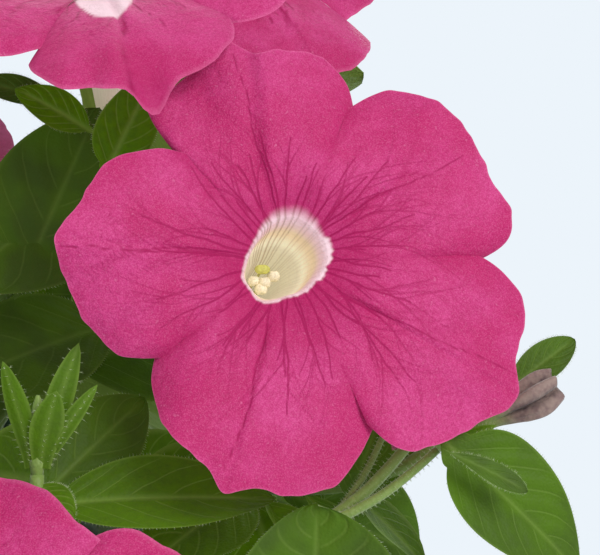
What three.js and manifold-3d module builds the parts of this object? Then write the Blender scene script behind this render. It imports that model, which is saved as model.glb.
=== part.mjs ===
// A petunia in a hanging pot, in millimetres, with +Z up. The origin is where the hook bears on
// whatever it hangs from. Everything is first laid out from the middle of the pot's mouth (rim at
// z = 0), and the last group lowers it by the length of the hanger.
import * as THREE from 'three';
import { mergeVertices } from 'three/addons/utils/BufferGeometryUtils.js';
import Module from 'manifold-3d';

const wasm = await Module();
wasm.setup();

// ---- Driving dimensions -------------------------------------------------------------------
const hangerDrop = 360;
const gap = 0.35;

const pot = { baseRadius: 62, mouthRadius: 86, rimRadius: 96, height: 120, wall: 2, flange: 3, skirt: 14 };
const drain = { radius: 5, ring: 38, count: 5 };
const soil = { top: -14, holeDepth: 24, holeClearance: 0.7 };

const arm = { radius: 1.6, rimReach: 89, hubReach: 8, knob: 2.9, hole: 2.6, azimuths: [45, 165, 285] };
const hub = { radius: 13, height: 12, bottom: 296 };
const crook = { insideRadius: 12, wire: 2.2, endAngle: 205 };

const stem = { rootRadius: 1.9, tipRadius: 1.25, sides: 5, steps: 6 };
const leaf = {
  thickness: 0.8, length: 50, width: 31, droop: 0.16, fold: 0.22, stalk: 0.1, stalkDepth: 1.4,
  stations: [0.12, 0.42, 0.74],
};
const calyx = {
  knobRadius: 3.9, cupRadius: 3.1, knobLength: 3, sepals: 5, length: 15, width: 3.8, spread: 0.46,
};
// A shut flower bud inside its sepals: distance from the end of the stem, and radius.
const budRings = [[1.5, 2.2], [6, 2.7], [12, 2.9], [17, 0.8]];
const flower = { radius: 40, mouth: 7.8, rise: 6, wall: 0.8, notch: 0.26 };
// Distance back from the mouth along the axis, and radius, of the flower tube.
const flowerTube = [[31, 2.3], [15, 4.0]];

// The mound that the plant fills: half its width, half its height and the height of its middle.
const mound = { halfWidth: 150, halfHeight: 145, middle: 20 };

// ---- The flower that faces the front, and what grows near it ------------------------------
const face = { x: 125, y: -90, z: 55 };
const nearFace = (right, back, up) => new THREE.Vector3(face.x + right, face.y + back, face.z + up);

// Outline of the front flower as seen from the front: angle and distance from its throat.
const faceOutline = [
  [5.1, 38.8], [10.1, 39.7], [20.2, 37.8], [34.1, 38.2], [49, 36.9], [60.3, 33], [67.9, 27.2],
  [74.9, 32.6], [83.8, 35.3], [94.7, 35.8], [101.2, 35.8], [107.4, 39], [114.2, 36.4], [124.9, 35.6],
  [134.6, 33.9], [137.9, 25], [142.6, 28.9], [151.5, 33.9], [167.8, 37], [176.7, 39.5], [190.1, 37.8],
  [202.8, 35.9], [210.5, 33.9], [218.8, 28.3], [222.7, 31.3], [236.3, 36.4], [249.6, 39], [254.5, 41.7],
  [259.1, 40.6], [274.4, 41], [282.7, 39.6], [290.6, 34.6], [294.6, 32.1], [298.2, 37.5], [305.8, 41],
  [316.3, 43.8], [327.1, 46.8], [336.1, 43.4], [343.1, 43.1], [348.9, 41.5], [355.6, 36.6], [359, 32.3],
];

// Each flower: where it stands (its throat), where it looks, and the turn of its lobes.
// A place in the mound is [azimuth, angle down from the top, distance as a share of the mound].
const flowers = [
  { at: nearFace(-1, 0, 2), axis: [0.265, -0.927, 0.265], outline: faceOutline },
  { at: nearFace(-36, 28, 53), axis: [-0.05, -0.5, 0.87], turn: 33.4, root: [-62, 32] },
  { at: nearFace(-14.5, 120, 69.5), axis: [0.35, -0.62, 0.7], turn: 28.7 },
  { at: nearFace(-48.5, -40, -69.5), axis: [0.05, -0.9, 0.43], turn: 56.5, root: [-72, 40] },
  { place: [-135, 19, 1] },
  { place: [-90, 70, 1] },
  { place: [-113, 106, 1.08] },
  { place: [-139, 76, 1] },
  { place: [-122, 43, 1.02] },
  { place: [172, 96, 1] },
  { place: [148, 50, 1] },
  { place: [127, 82, 1] },
  { place: [84, 62, 1] },
  { place: [98, 108, 1.08] },
  { place: [31, 86, 1] },
  { place: [6, 121, 1.2] },
];

// ---- Small helpers ------------------------------------------------------------------------
const vec = (x, y, z) => new THREE.Vector3(x, y, z);
const radians = (degrees) => degrees * Math.PI / 180;
const mix = (a, b, t) => a + (b - a) * t;

// A repeatable draw between 0 and 1 for three whole numbers.
function draw(a, b, c) {
  let n = (a * 7919 + b * 104729 + c * 1299709 + 17) % 2147483647;
  for (let i = 0; i < 4; i++) n = (n * 16807) % 2147483647;
  return n / 2147483647;
}

function onMound(azimuth, down, share) {
  const r = mound.halfWidth * share * Math.sin(radians(down));
  return vec(r * Math.cos(radians(azimuth)), r * Math.sin(radians(azimuth)),
    mound.middle + mound.halfHeight * share * Math.cos(radians(down)));
}

// The way out of the mound at a point.
function outward(p) {
  return vec(p.x / mound.halfWidth ** 2, p.y / mound.halfWidth ** 2,
    (p.z - mound.middle) / mound.halfHeight ** 2).normalize();
}

// ---- Closed solids --------------------------------------------------------------------------
function solidOf(points, faces) {
  const vertProperties = new Float32Array(points.flatMap((p) => [p.x, p.y, p.z]));
  const triVerts = new Uint32Array(faces.flat());
  return new wasm.Manifold(new wasm.Mesh({ numProp: 3, vertProperties, triVerts }));
}

function solidFromGeometry(geometry) {
  geometry.deleteAttribute('normal');
  geometry.deleteAttribute('uv');
  const merged = mergeVertices(geometry, 1e-4);
  return new wasm.Manifold(new wasm.Mesh({
    numProp: 3,
    vertProperties: new Float32Array(merged.attributes.position.array),
    triVerts: new Uint32Array(merged.index.array),
  }));
}

function geometryFromSolid(solid) {
  const mesh = solid.getMesh();
  const geometry = new THREE.BufferGeometry();
  geometry.setAttribute('position', new THREE.BufferAttribute(new Float32Array(mesh.vertProperties), 3));
  geometry.setIndex(new THREE.BufferAttribute(new Uint32Array(mesh.triVerts), 1));
  return geometry;
}

// The faces of a tube through rings of equal count, and a fan over a ring.
function tubeFaces(ringCount, sides) {
  const faces = [];
  for (let r = 0; r + 1 < ringCount; r++) {
    for (let i = 0; i < sides; i++) {
      const a = r * sides + i;
      const b = r * sides + (i + 1) % sides;
      faces.push([a, b, b + sides], [a, b + sides, a + sides]);
    }
  }
  return faces;
}

function fan(start, sides, backward) {
  return Array.from({ length: sides - 2 }, (_, i) => (
    backward ? [start, start + i + 2, start + i + 1] : [start, start + i + 1, start + i + 2]));
}

// Rings round the points of a path, square to it. The last ring is square to `lastAhead` if given.
function ringsAlong(path, radii, sides, lastAhead) {
  let across = Math.abs(path[1].clone().sub(path[0]).normalize().z) > 0.9 ? vec(1, 0, 0) : vec(0, 0, 1);
  return path.map((p, k) => {
    const before = path[Math.max(k - 1, 0)];
    const after = path[Math.min(k + 1, path.length - 1)];
    const isLast = k === path.length - 1;
    const ahead = isLast && lastAhead ? lastAhead.clone() : after.clone().sub(before).normalize();
    across = across.clone().addScaledVector(ahead, -across.dot(ahead)).normalize();
    const other = ahead.clone().cross(across);
    return Array.from({ length: sides }, (_, i) => {
      const turn = 2 * Math.PI * i / sides;
      return p.clone().addScaledVector(across, radii[k] * Math.cos(turn))
        .addScaledVector(other, radii[k] * Math.sin(turn));
    });
  });
}

// The closed solid through rings of equal count.
function loft(rings) {
  const sides = rings[0].length;
  const last = (rings.length - 1) * sides;
  const faces = [...tubeFaces(rings.length, sides), ...fan(0, sides, true), ...fan(last, sides)];
  return solidOf(rings.flat(), faces);
}

// A round rod of changing radius along a list of points, with closed ends.
const rod = (path, radii, sides) => loft(ringsAlong(path, radii, sides));

// ---- Leaves -----------------------------------------------------------------------------------
// Half width of a leaf, as a share of its widest, at the share s of its length: a short stalk
// that opens into an oval blade with a point.
function leafShape(s) {
  const inBlade = Math.max(s - leaf.stalk, 0.015) / (1 - leaf.stalk);
  return Math.sin(Math.PI * inBlade ** 0.9) ** 0.7;
}

// A folded, drooping blade. Its rows are the foot, the three-sided end of the stalk, two rows of
// three points on both faces, and the tip.
function leafBlade(foot, tip, facing, width) {
  const along = tip.clone().sub(foot);
  const length = along.length();
  along.normalize();
  const side = along.clone().cross(facing).normalize();
  const face = side.clone().cross(along).normalize();
  const point = (s, q, lift = 0) => {
    const across = q * width / 2 * leafShape(s);
    const rise = leaf.fold * Math.abs(across) - leaf.droop * length * s * s + lift;
    return foot.clone().addScaledVector(along, length * s).addScaledVector(side, across)
      .addScaledVector(face, rise);
  };
  const [s1, s2, s3] = leaf.stations;
  const half = leaf.thickness / 2;
  const skin = (s) => [half, -half].flatMap((lift) => [-1, 0, 1].map((q) => point(s, q, lift)));
  const points = [foot, point(s1, -1), point(s1, 1), point(s1, 0, -leaf.stalkDepth), ...skin(s2), ...skin(s3),
    point(1, 0)];
  const strip = (a, b, c, d) => [[a, b, d], [a, d, c]];
  const faces = [
    [0, 2, 1], [1, 5, 4], [1, 2, 5], [2, 6, 5], ...strip(4, 5, 10, 11), ...strip(5, 6, 11, 12),
    [10, 11, 16], [11, 12, 16],
    [0, 1, 3], [0, 3, 2], ...strip(3, 1, 8, 7), ...strip(2, 3, 9, 8), ...strip(8, 7, 14, 13),
    ...strip(9, 8, 15, 14), [14, 13, 16], [15, 14, 16],
    [1, 4, 7], [2, 9, 6], ...strip(4, 10, 7, 13), ...strip(6, 9, 12, 15), [10, 16, 13], [12, 15, 16],
  ];
  return solidOf(points, faces);
}

// ---- Pot, soil and hanger ---------------------------------------------------------------------
function lathe(profile, segments) {
  const geometry = new THREE.LatheGeometry(profile.map(([r, z]) => new THREE.Vector2(r, z)), segments);
  geometry.rotateX(Math.PI / 2);
  return solidFromGeometry(geometry);
}

function makePot() {
  const { baseRadius, mouthRadius, rimRadius, height, wall, flange, skirt } = pot;
  const floor = -height + wall;
  let body = lathe([
    [0, -height], [baseRadius - 4, -height], [baseRadius, -height + 4], [mouthRadius, -flange],
    [rimRadius - wall, -flange], [rimRadius - wall, -skirt], [rimRadius, -skirt], [rimRadius, -1.5],
    [rimRadius - 1.5, 0], [mouthRadius - wall, 0], [baseRadius - wall, floor], [0, floor],
  ], 32);
  for (let k = 0; k < drain.count; k++) {
    const turn = 2 * Math.PI * k / drain.count;
    const [x, y] = [drain.ring * Math.cos(turn), drain.ring * Math.sin(turn)];
    const line = [vec(x, y, -height - 1), vec(x, y, floor + 1)];
    body = body.subtract(rod(line, [drain.radius, drain.radius], 6));
  }
  for (const azimuth of arm.azimuths) {
    const x = arm.rimReach * Math.cos(radians(azimuth));
    const y = arm.rimReach * Math.sin(radians(azimuth));
    body = body.subtract(rod([vec(x, y, -flange - 1), vec(x, y, 1)], [arm.hole, arm.hole], 6));
  }
  return body;
}

function makeSoil(roots) {
  const floor = -pot.height + pot.wall;
  const inside = (z) => mix(pot.mouthRadius, pot.baseRadius, z / floor) - pot.wall - gap;
  const bottom = floor + gap;
  let body = lathe([[0, bottom], [inside(bottom), bottom], [inside(soil.top), soil.top],
    [40, soil.top + 2.5], [0, soil.top + 3]], 32);
  for (const root of roots) {
    const radius = stem.rootRadius + soil.holeClearance;
    body = body.subtract(rod([vec(root.x, root.y, soil.top - soil.holeDepth), vec(root.x, root.y, 5)],
      [radius, radius], 6));
  }
  return body;
}

// The line of an arm, from its knob under the rim to the hub.
function armEnds(azimuth) {
  const out = vec(Math.cos(radians(azimuth)), Math.sin(radians(azimuth)), 0);
  const top = out.clone().multiplyScalar(arm.hubReach).setZ(hub.bottom - gap - 0.5);
  const rim = out.clone().multiplyScalar(arm.rimReach).setZ(-pot.flange / 2);
  const down = rim.clone().sub(top).normalize();
  const knob = rim.clone().addScaledVector(down, 4.9);
  return { top, knob };
}

function makeArm(azimuth) {
  const { top, knob } = armEnds(azimuth);
  const ball = new THREE.SphereGeometry(arm.knob, 8, 5);
  ball.translate(knob.x, knob.y, knob.z);
  return rod([knob, top], [arm.radius, arm.radius], 6).add(solidFromGeometry(ball));
}

function makeHook() {
  const inside = crook.insideRadius + crook.wire;
  const centre = -crook.insideRadius + hangerDrop;
  const top = hub.bottom + hub.height;
  const path = [vec(0, 0, top - 6), vec(0, 0, top + 8), vec(4.5, 0, top + 18), vec(11.5, 0, centre - 11)];
  for (let turn = 0; turn <= crook.endAngle; turn += crook.endAngle / 10) {
    path.push(vec(inside * Math.cos(radians(turn)), 0, centre + inside * Math.sin(radians(turn))));
  }
  const plate = lathe([[0, hub.bottom], [hub.radius, hub.bottom], [hub.radius, hub.bottom + 3],
    [5, hub.bottom + hub.height], [0, hub.bottom + hub.height]], 16);
  return rod(path, path.map(() => crook.wire), 6).add(plate);
}

// ---- Flowers ----------------------------------------------------------------------------------
// The distance of the edge from the throat, all round, and the angles at which it is sampled.
function edgeOf(spec, index) {
  if (spec.outline) {
    return { angles: spec.outline.map(([a]) => a), reach: spec.outline.map(([, r]) => r) };
  }
  const angles = [];
  const reach = [];
  for (let lobe = 0; lobe < 5; lobe++) {
    const size = flower.radius * (0.93 + 0.12 * draw(index, lobe, 1));
    for (let k = 0; k < 4; k++) {
      const inLobe = 1 - Math.abs(k / 2 - 1);
      angles.push(spec.turn + 72 * lobe + 18 * k);
      reach.push(size * (1 - flower.notch * (1 - inLobe) ** 3 - 0.04 * (inLobe === 0.5 ? 1 : 0)));
    }
  }
  return { angles, reach };
}

// Height of the limb over the throat at the share s of the way out, at an angle of a flower.
function limbHeight(s, degrees, index) {
  const wave = 1.6 * Math.sin(radians(3 * degrees + 97 * index))
    + 1.1 * Math.sin(radians(5 * degrees + 41 * index));
  return flower.rise * (2.1 * s - 1.75 * s * s) + wave * s * s;
}

function flowerFrame(spec) {
  const axis = vec(...spec.axis).normalize();
  if (spec.outline) {
    // Seen from the front, this outline keeps its shape, so its plane is sheared, not turned.
    const right = vec(1, -axis.x / axis.y, 0);
    const up = vec(0, -axis.z / axis.y, 1);
    return { axis, right, up, out: vec(0, 1 / axis.y, 0) };
  }
  const right = vec(0, 0, 1).cross(axis);
  if (right.length() < 0.1) right.set(1, 0, 0);
  right.normalize();
  return { axis, right, up: axis.clone().cross(right), out: axis };
}

function makeCorolla(spec, index) {
  const { axis, right, up, out } = flowerFrame(spec);
  const { angles, reach } = edgeOf(spec, index);
  const count = angles.length;
  const coarse = 8;
  const spot = (radius, degrees, height, back) => spec.at.clone()
    .addScaledVector(right, radius * Math.cos(radians(degrees)))
    .addScaledVector(up, radius * Math.sin(radians(degrees)))
    .addScaledVector(out, height).addScaledVector(axis, -back);
  const tubeAngles = Array.from({ length: coarse }, (_, i) => angles[Math.round(i * count / coarse) % count]);
  const rings = (skin) => {
    const ring = [];
    for (const [back, radius] of flowerTube) {
      ring.push(tubeAngles.map((a) => spot(radius + (skin - 1) * flower.wall, a, 0, back)));
    }
    const mouthRadius = flower.mouth + (skin - 1) * flower.wall * 0.8;
    ring.push(angles.map((a) => spot(mouthRadius, a, -0.3 * (1 - skin), 0)));
    for (const s of [0.5, 1]) {
      ring.push(angles.map((a, i) => spot(mix(flower.mouth, reach[i], s), a,
        limbHeight(s, a, index) - skin * flower.wall, 0)));
    }
    return ring;
  };
  // Inner skin first (facing the viewer), then the outer skin behind it.
  const inner = rings(0);
  const outer = rings(1);
  const points = [...inner.flat(), ...outer.flat()];
  const half = inner.flat().length;
  const starts = inner.map((_, r) => inner.slice(0, r).flat().length);
  const sheet = [];
  for (let i = 0; i < coarse; i++) {
    const j = (i + 1) % coarse;
    sheet.push([starts[0] + i, starts[0] + j, starts[1] + j], [starts[0] + i, starts[1] + j, starts[1] + i]);
    const from = Math.round(i * count / coarse);
    const to = Math.round((i + 1) * count / coarse);
    const middle = Math.floor((from + to) / 2);
    for (let k = from; k < to; k++) {
      const root = k < middle ? starts[1] + i : starts[1] + j;
      sheet.push([root, starts[2] + (k + 1) % count, starts[2] + k % count]);
    }
    sheet.push([starts[1] + i, starts[1] + j, starts[2] + middle % count]);
  }
  for (const r of [2, 3]) {
    for (let i = 0; i < count; i++) {
      const j = (i + 1) % count;
      const [near, far] = [starts[r], starts[r + 1]];
      sheet.push([near + i, near + j, far + j], [near + i, far + j, far + i]);
    }
  }
  const faces = sheet.map(([a, b, c]) => [a, c, b]);
  for (const [a, b, c] of sheet) faces.push([a + half, b + half, c + half]);
  for (let i = 0; i < coarse; i++) {
    const j = (i + 1) % coarse;
    faces.push([i, j, j + half], [i, j + half, i + half]);
  }
  for (let i = 0; i < count; i++) {
    const a = starts[4] + i;
    const b = starts[4] + (i + 1) % count;
    faces.push([a, b + half, b], [a, a + half, b + half]);
  }
  return solidOf(points, faces);
}

// Filaments in a slim column under the anthers. The front flower has three anthers and a stigma.
function makeStamens(spec) {
  const { axis, right, up } = flowerFrame({ axis: spec.axis });
  const spot = (back, a, b) => spec.at.clone().addScaledVector(axis, -back)
    .addScaledVector(right, a).addScaledVector(up, b);
  const root = spot(flowerTube[0][0], 0, 0);
  if (!spec.outline) return rod([root, spot(13, 0, 0), spot(11, 0, 0), spot(9, 0, 0)], [0.8, 1, 2, 0.7], 4);
  const beads = [[11.5, -1.4, -0.6], [11.8, 1.2, -0.9], [11, 0.2, 1.2], [9.6, -0.3, 0.2]];
  let column = rod([root, spot(10.6, 0, 0)], [0.8, 1.1], 4);
  for (const [back, a, b] of beads) {
    const bead = new THREE.OctahedronGeometry(1.35, 0);
    const place = spot(back, a, b);
    bead.translate(place.x, place.y, place.z);
    column = column.add(solidFromGeometry(bead));
  }
  return column;
}

// ---- Leafy shoots -----------------------------------------------------------------------------
// A shoot stands in the soil, climbs over the rim and runs out to its end along a cubic curve.
function shootPath({ root, climb, lead, end }) {
  const start = vec(root.x, root.y, soil.top + 4);
  const at = (t) => {
    const k = 1 - t;
    return start.clone().multiplyScalar(k ** 3).addScaledVector(climb, 3 * k * k * t)
      .addScaledVector(lead, 3 * k * t * t).addScaledVector(end, t ** 3);
  };
  const ahead = (t) => at(Math.min(t + 0.02, 1)).sub(at(Math.max(t - 0.02, 0))).normalize();
  // The stem itself runs straight between its rings, and leaves sit on it there.
  const onStem = (t) => {
    const ring = Math.min(Math.floor(t * stem.steps), stem.steps - 1);
    return at(ring / stem.steps).lerp(at((ring + 1) / stem.steps), t * stem.steps - ring);
  };
  return { at, ahead, onStem, start };
}

// A shoot's curve follows from where it ends. One that ends low hangs down to its end.
function curveTo(end, axis, rootAt) {
  const reach = Math.hypot(end.x, end.y);
  const bearing = Math.atan2(end.y, end.x);
  const rootReach = rootAt ? rootAt[1] : Math.min(Math.max(0.36 * reach, 14), 50);
  const rootBearing = rootAt ? radians(rootAt[0]) : bearing;
  const hang = Math.min(Math.max((20 - end.z) / 60, 0), 1);
  const climbReach = mix(rootReach, reach, 0.58 + 0.22 * hang);
  return {
    root: vec(rootReach * Math.cos(rootBearing), rootReach * Math.sin(rootBearing), 0),
    climb: vec(climbReach * Math.cos(bearing), climbReach * Math.sin(bearing),
      60 + 0.5 * Math.max(0, 60 - end.z)),
    lead: end.clone().addScaledVector(axis, -20 * (1 - hang)).add(vec(0, 0, 40 * hang)),
    end,
  };
}

function stemPath(curve) {
  const { at, start } = shootPath(curve);
  const path = [vec(start.x, start.y, soil.top - soil.holeDepth + 2)];
  for (let k = 0; k <= stem.steps; k++) path.push(at(k / stem.steps));
  const radii = path.map((_, k) => mix(stem.rootRadius, stem.tipRadius, k / stem.steps));
  return { path, radii };
}

// The rings of a stem with, at its end, a cup that opens into sepals clear of the flower tube.
function makeFloweringStem(curve, axis, lengths, spread) {
  const { path, radii } = stemPath(curve);
  const rimCentre = curve.end.clone().addScaledVector(axis, calyx.knobLength);
  const rings = ringsAlong([...path, rimCentre], [...radii, calyx.knobRadius], stem.sides, axis);
  const rim = rings.at(-1);
  const sides = rim.length;
  const inward = (p, depth) => p.clone().lerp(rimCentre, depth / calyx.knobRadius);
  const cup = rim.map((p) => inward(p, calyx.knobRadius - calyx.cupRadius));
  const points = [...rings.flat(), ...cup];
  const last = (rings.length - 1) * sides;
  const faces = [...tubeFaces(rings.length, sides), ...fan(0, sides, true), ...fan(last + sides, sides)];
  for (let i = 0; i < sides; i++) {
    const j = (i + 1) % sides;
    const middle = rim[i].clone().lerp(rim[j], 0.5);
    const across = rim[j].clone().sub(rim[i]).normalize();
    const away = middle.clone().sub(rimCentre).normalize();
    const along = axis.clone().multiplyScalar(Math.cos(spread)).addScaledVector(away, Math.sin(spread));
    const under = axis.clone().multiplyScalar(Math.sin(spread)).addScaledVector(away, -Math.cos(spread));
    const belly = middle.clone().addScaledVector(along, 0.55 * lengths[i]);
    const [left, right] = [-0.5, 0.5].map((q) => belly.clone().addScaledVector(across, q * calyx.width));
    const tip = middle.clone().addScaledVector(along, lengths[i]).addScaledVector(under, 1.5);
    const n = points.length;
    const behind = [left, right].map((p) => p.clone().addScaledVector(under, leaf.thickness));
    points.push(left, right, ...behind, tip);
    const [a, b, c, d] = [last + i, last + j, last + sides + i, last + sides + j];
    const [l, r, l2, r2, t] = [n, n + 1, n + 2, n + 3, n + 4];
    faces.push([a, b, r], [a, r, l], [l, r, t], [d, c, l2], [d, l2, r2], [r2, l2, t]);
    faces.push([c, a, l], [c, l, l2], [l2, l, t], [b, d, r2], [b, r2, r], [r, r2, t]);
  }
  return solidOf(points, faces);
}

// Leaves of a shoot by rule: to the left and right by turns, out of the mound, facing outward.
// Each is tried in a few turns and sizes, and is left out if none stands clear.
const leafTries = [
  [0, 1, 0.4], [24, 0.97, 0.6], [-24, 0.95, 0.25], [48, 0.9, 0.8], [-46, 0.85, 0.1], [75, 0.85, 0.5],
  [10, 0.8, 1], [-20, 0.75, -0.2], [110, 0.8, 0.4], [30, 0.65, 0.3],
];

function leafByRule(curve, shoot, k, count, [turn, size, lift]) {
  const { onStem, ahead } = shootPath(curve);
  const t = mix(0.16, 0.97, (k + 0.3 + 0.5 * draw(shoot, k, 2)) / count);
  const foot = onStem(t);
  const forward = ahead(t);
  const face = outward(foot);
  const side = forward.clone().cross(face).normalize().multiplyScalar(k % 2 ? 1 : -1);
  const spin = radians(turn + 24 * (draw(shoot, k, 3) - 0.5));
  const along = side.clone().multiplyScalar(Math.cos(spin)).addScaledVector(forward, 0.55 + Math.sin(spin))
    .addScaledVector(face, lift).normalize();
  const length = leaf.length * size * (0.82 + 0.3 * draw(shoot, k, 4));
  const lean = 0.5 * (draw(shoot, k, 5) - 0.5);
  const up = face.clone().add(vec(0, 0, 0.35)).addScaledVector(side, lean).normalize();
  const tip = foot.clone().addScaledVector(along, length);
  return { foot, tip, up, width: leaf.width * length / leaf.length };
}

// ---- Where every shoot runs -------------------------------------------------------------------
for (const [i, spec] of flowers.entries()) {
  if (spec.place) {
    spec.at = onMound(...spec.place);
    const lean = vec(0.3 * (draw(i, 1, 1) - 0.5), 0.3 * (draw(i, 2, 1) - 0.5), 0.3);
    spec.axis = outward(spec.at).add(lean).toArray();
    spec.turn = 72 * draw(i, 3, 1);
  }
}

const flowerBack = flowerTube[0][0] + gap + calyx.knobLength;
const shoots = flowers.map((spec, i) => {
  const axis = vec(...spec.axis).normalize();
  const end = spec.at.clone().addScaledVector(axis, -flowerBack);
  return {
    name: `shoot_${String(i + 1).padStart(2, '0')}`, axis, curve: curveTo(end, axis, spec.root), leaves: 7,
    sepals: Array(calyx.sepals).fill(calyx.length), spread: calyx.spread, given: [],
  };
});

// Leaves near the front flower: share of the shoot, tip, width and the way they face.
shoots[1].given = [
  [0.9, nearFace(-60, 20, 0), 27, [0.25, -0.9, 0.35]],
  [0.8, nearFace(-29, 60, 24), 16, [-0.2, -0.9, 0.4]],
];
shoots[0].given = [[0.5, nearFace(-62, 22, -18), 22, [0, -0.9, 0.45]]];
shoots.push({
  name: 'shoot_bud', axis: vec(0.02, -0.12, 1).normalize(), leaves: 4, spread: 0.3, bud: true,
  sepals: [21, 23, 19, 14, 17],
  curve: {
    root: vec(39, -59, 0), climb: vec(52, -79, 44), lead: vec(82, -97, -6), end: nearFace(-43.5, -6, -35),
  },
  given: [
    [0.88, nearFace(-3, -4, -35.5), 16, [0, -0.75, 0.65]],
    [0.97, nearFace(-37, -13, -41), 6, [0, -0.8, 0.6]],
    [0.86, nearFace(-25.4, 6, -21), 16, [0, -0.95, 0.2]],
  ],
});
shoots.push({
  name: 'shoot_faded', axis: vec(0.91, 0, 0.41).normalize(), leaves: 2, spread: 0.5,
  sepals: [7, 8, 7, 8, 7],
  curve: {
    root: vec(62, -38, 0), climb: vec(86, -52, 36), lead: vec(128, -76, 2), end: nearFace(26, 16, -31),
  },
  given: [
    [0.62, nearFace(-25, 6, -49), 20, [0, -0.7, 0.7]],
    [0.6, nearFace(4, -4, -70), 26, [0, -0.95, 0.3]],
    [0.66, nearFace(25.4, 30, -53.6), 22, [0.1, -0.95, 0.1]],
    [0.7, nearFace(14.2, 25, -26.5), 10, [0, -1, 0.1]],
    [0.92, nearFace(50, 4, -58), 17.5, [0.25, -0.9, 0.35]],
    [0.95, nearFace(41, -1, -37.5), 4, [0, -0.85, 0.5]],
    [0.9, nearFace(53, 34, -9.5), 12, [0, -0.95, 0.3]],
  ],
});
for (const [i, place] of [[-70, 70, 0.95], [66, 118, 1.02], [60, 24, 0.9]].entries()) {
  const end = onMound(...place);
  const axis = outward(end);
  const curve = curveTo(end, axis);
  shoots.push({ name: `shoot_leafy_${i + 1}`, axis, curve, leaves: 9, sepals: [], given: [] });
}

// ---- Materials ----------------------------------------------------------------------------------
const finish = (color, roughness) => new THREE.MeshStandardMaterial({ color, roughness, metalness: 0 });
const colours = {
  petal: 0xd63e80, throat: 0xe6cf96, leaf: 0x4d7022, faded: 0x8d7480, pot: 0x2f4a36, soil: 0x3b2a1e,
};

const build = new THREE.Group();
const part = new THREE.Group();
part.add(build);
build.position.z = -hangerDrop;

function place(name, solid, color, roughness) {
  const mesh = new THREE.Mesh(geometryFromSolid(solid), finish(color, roughness));
  mesh.name = name;
  build.add(mesh);
}

// ---- Assembly -------------------------------------------------------------------------------
const obstacles = [];
function block(solid, owner) {
  obstacles.push({ solid, box: solid.boundingBox(), owner });
}

const clear = 0.45;
function standsClear(solid, stemOwner) {
  const box = solid.boundingBox();
  return obstacles.every((other) => other.owner === stemOwner
    || [0, 1, 2].some((k) => other.box.min[k] > box.max[k] + clear || other.box.max[k] < box.min[k] - clear)
    || solid.minGap(other.solid, 2 * clear) >= clear);
}

// Space kept bare in front of the front flower, beside it, and above its right shoulder.
const bareSpaces = [
  [nearFace(-58, -200, -70), nearFace(60, -3, 58)],
  [nearFace(46, -200, -70), nearFace(200, 60, 90)],
  [nearFace(14, -200, 30), nearFace(200, 60, 120)],
];
const inBareSpace = (p) => bareSpaces.some(([low, high]) => p.x > low.x && p.x < high.x
  && p.y > low.y && p.y < high.y && p.z > low.z && p.z < high.z);

const potSolid = makePot();
place('pot', potSolid, colours.pot, 0.45);
block(potSolid);
const soilSolid = makeSoil(shoots.map(({ curve }) => curve.root));
place('soil', soilSolid, colours.soil, 0.95);
block(soilSolid);
arm.azimuths.forEach((azimuth, k) => {
  const solid = makeArm(azimuth);
  place(`hanger_arm_${k + 1}`, solid, colours.pot, 0.45);
  block(solid);
});
const hookSolid = makeHook();
place('hook', hookSolid, colours.pot, 0.45);
block(hookSolid);

flowers.forEach((spec, i) => {
  const number = String(i + 1).padStart(2, '0');
  const corolla = makeCorolla(spec, i);
  place(`corolla_${number}`, corolla, colours.petal, 0.55);
  block(corolla);
  place(`stamens_${number}`, makeStamens(spec), colours.throat, 0.6);
});

// The faded flower: a shut, pleated tube bent towards its tip.
const fadedShoot = shoots.find(({ name }) => name === 'shoot_faded');
const fadedRings = [[0, 1.9, 0], [6, 2.2, 0], [11, 3.2, 0], [15, 4.9, 0], [19.5, 4.7, 0.3], [21.5, 3, 0.8]];

function makeFaded({ curve, axis }) {
  const { right, up } = flowerFrame({ axis: axis.toArray() });
  const base = curve.end.clone().addScaledVector(axis, calyx.knobLength + gap);
  return loft(fadedRings.map(([ahead, radius, lift], k) => {
    const middle = base.clone().addScaledVector(axis, ahead).addScaledVector(up, lift);
    return Array.from({ length: 8 }, (_, i) => {
      const pleated = radius * (i % 2 && k > 1 ? 0.66 : 1);
      const turn = 2 * Math.PI * i / 8;
      return middle.clone().addScaledVector(right, pleated * Math.cos(turn))
        .addScaledVector(up, pleated * Math.sin(turn));
    });
  }));
}

const fadedSolid = makeFaded(fadedShoot);
place('corolla_faded', fadedSolid, colours.faded, 0.8);
block(fadedSolid);

for (const shoot of shoots) {
  const { curve, axis, sepals, spread } = shoot;
  if (sepals.length) {
    shoot.stem = makeFloweringStem(curve, axis, sepals, spread);
    if (shoot.bud) {
      const path = budRings.map(([ahead]) => curve.end.clone().addScaledVector(axis, ahead));
      shoot.stem = shoot.stem.add(rod(path, budRings.map(([, radius]) => radius), 6));
    }
  } else {
    const { path, radii } = stemPath(curve);
    shoot.stem = rod(path, radii, stem.sides);
  }
  block(shoot.stem, shoot);
}
for (const shoot of shoots) {
  shoot.blades = shoot.given.map(([t, tip, width, up]) =>
    leafBlade(shootPath(shoot.curve).onStem(t), tip, vec(...up), width));
  for (const solid of shoot.blades) block(solid);
}
shoots.forEach((shoot, number) => {
  for (let k = 0; k < shoot.leaves; k++) {
    for (const attempt of leafTries) {
      const { foot, tip, up, width } = leafByRule(shoot.curve, number, k, shoot.leaves, attempt);
      if (inBareSpace(tip) || inBareSpace(foot.clone().lerp(tip, 0.6))) continue;
      const solid = leafBlade(foot, tip, up, width);
      if (!standsClear(solid, shoot)) continue;
      shoot.blades.push(solid);
      block(solid);
      break;
    }
  }
});

for (const shoot of shoots) {
  let solid = shoot.stem;
  for (const bladeSolid of shoot.blades) solid = solid.add(bladeSolid);
  place(shoot.name, solid, colours.leaf, 0.6);
}

export default part;
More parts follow.
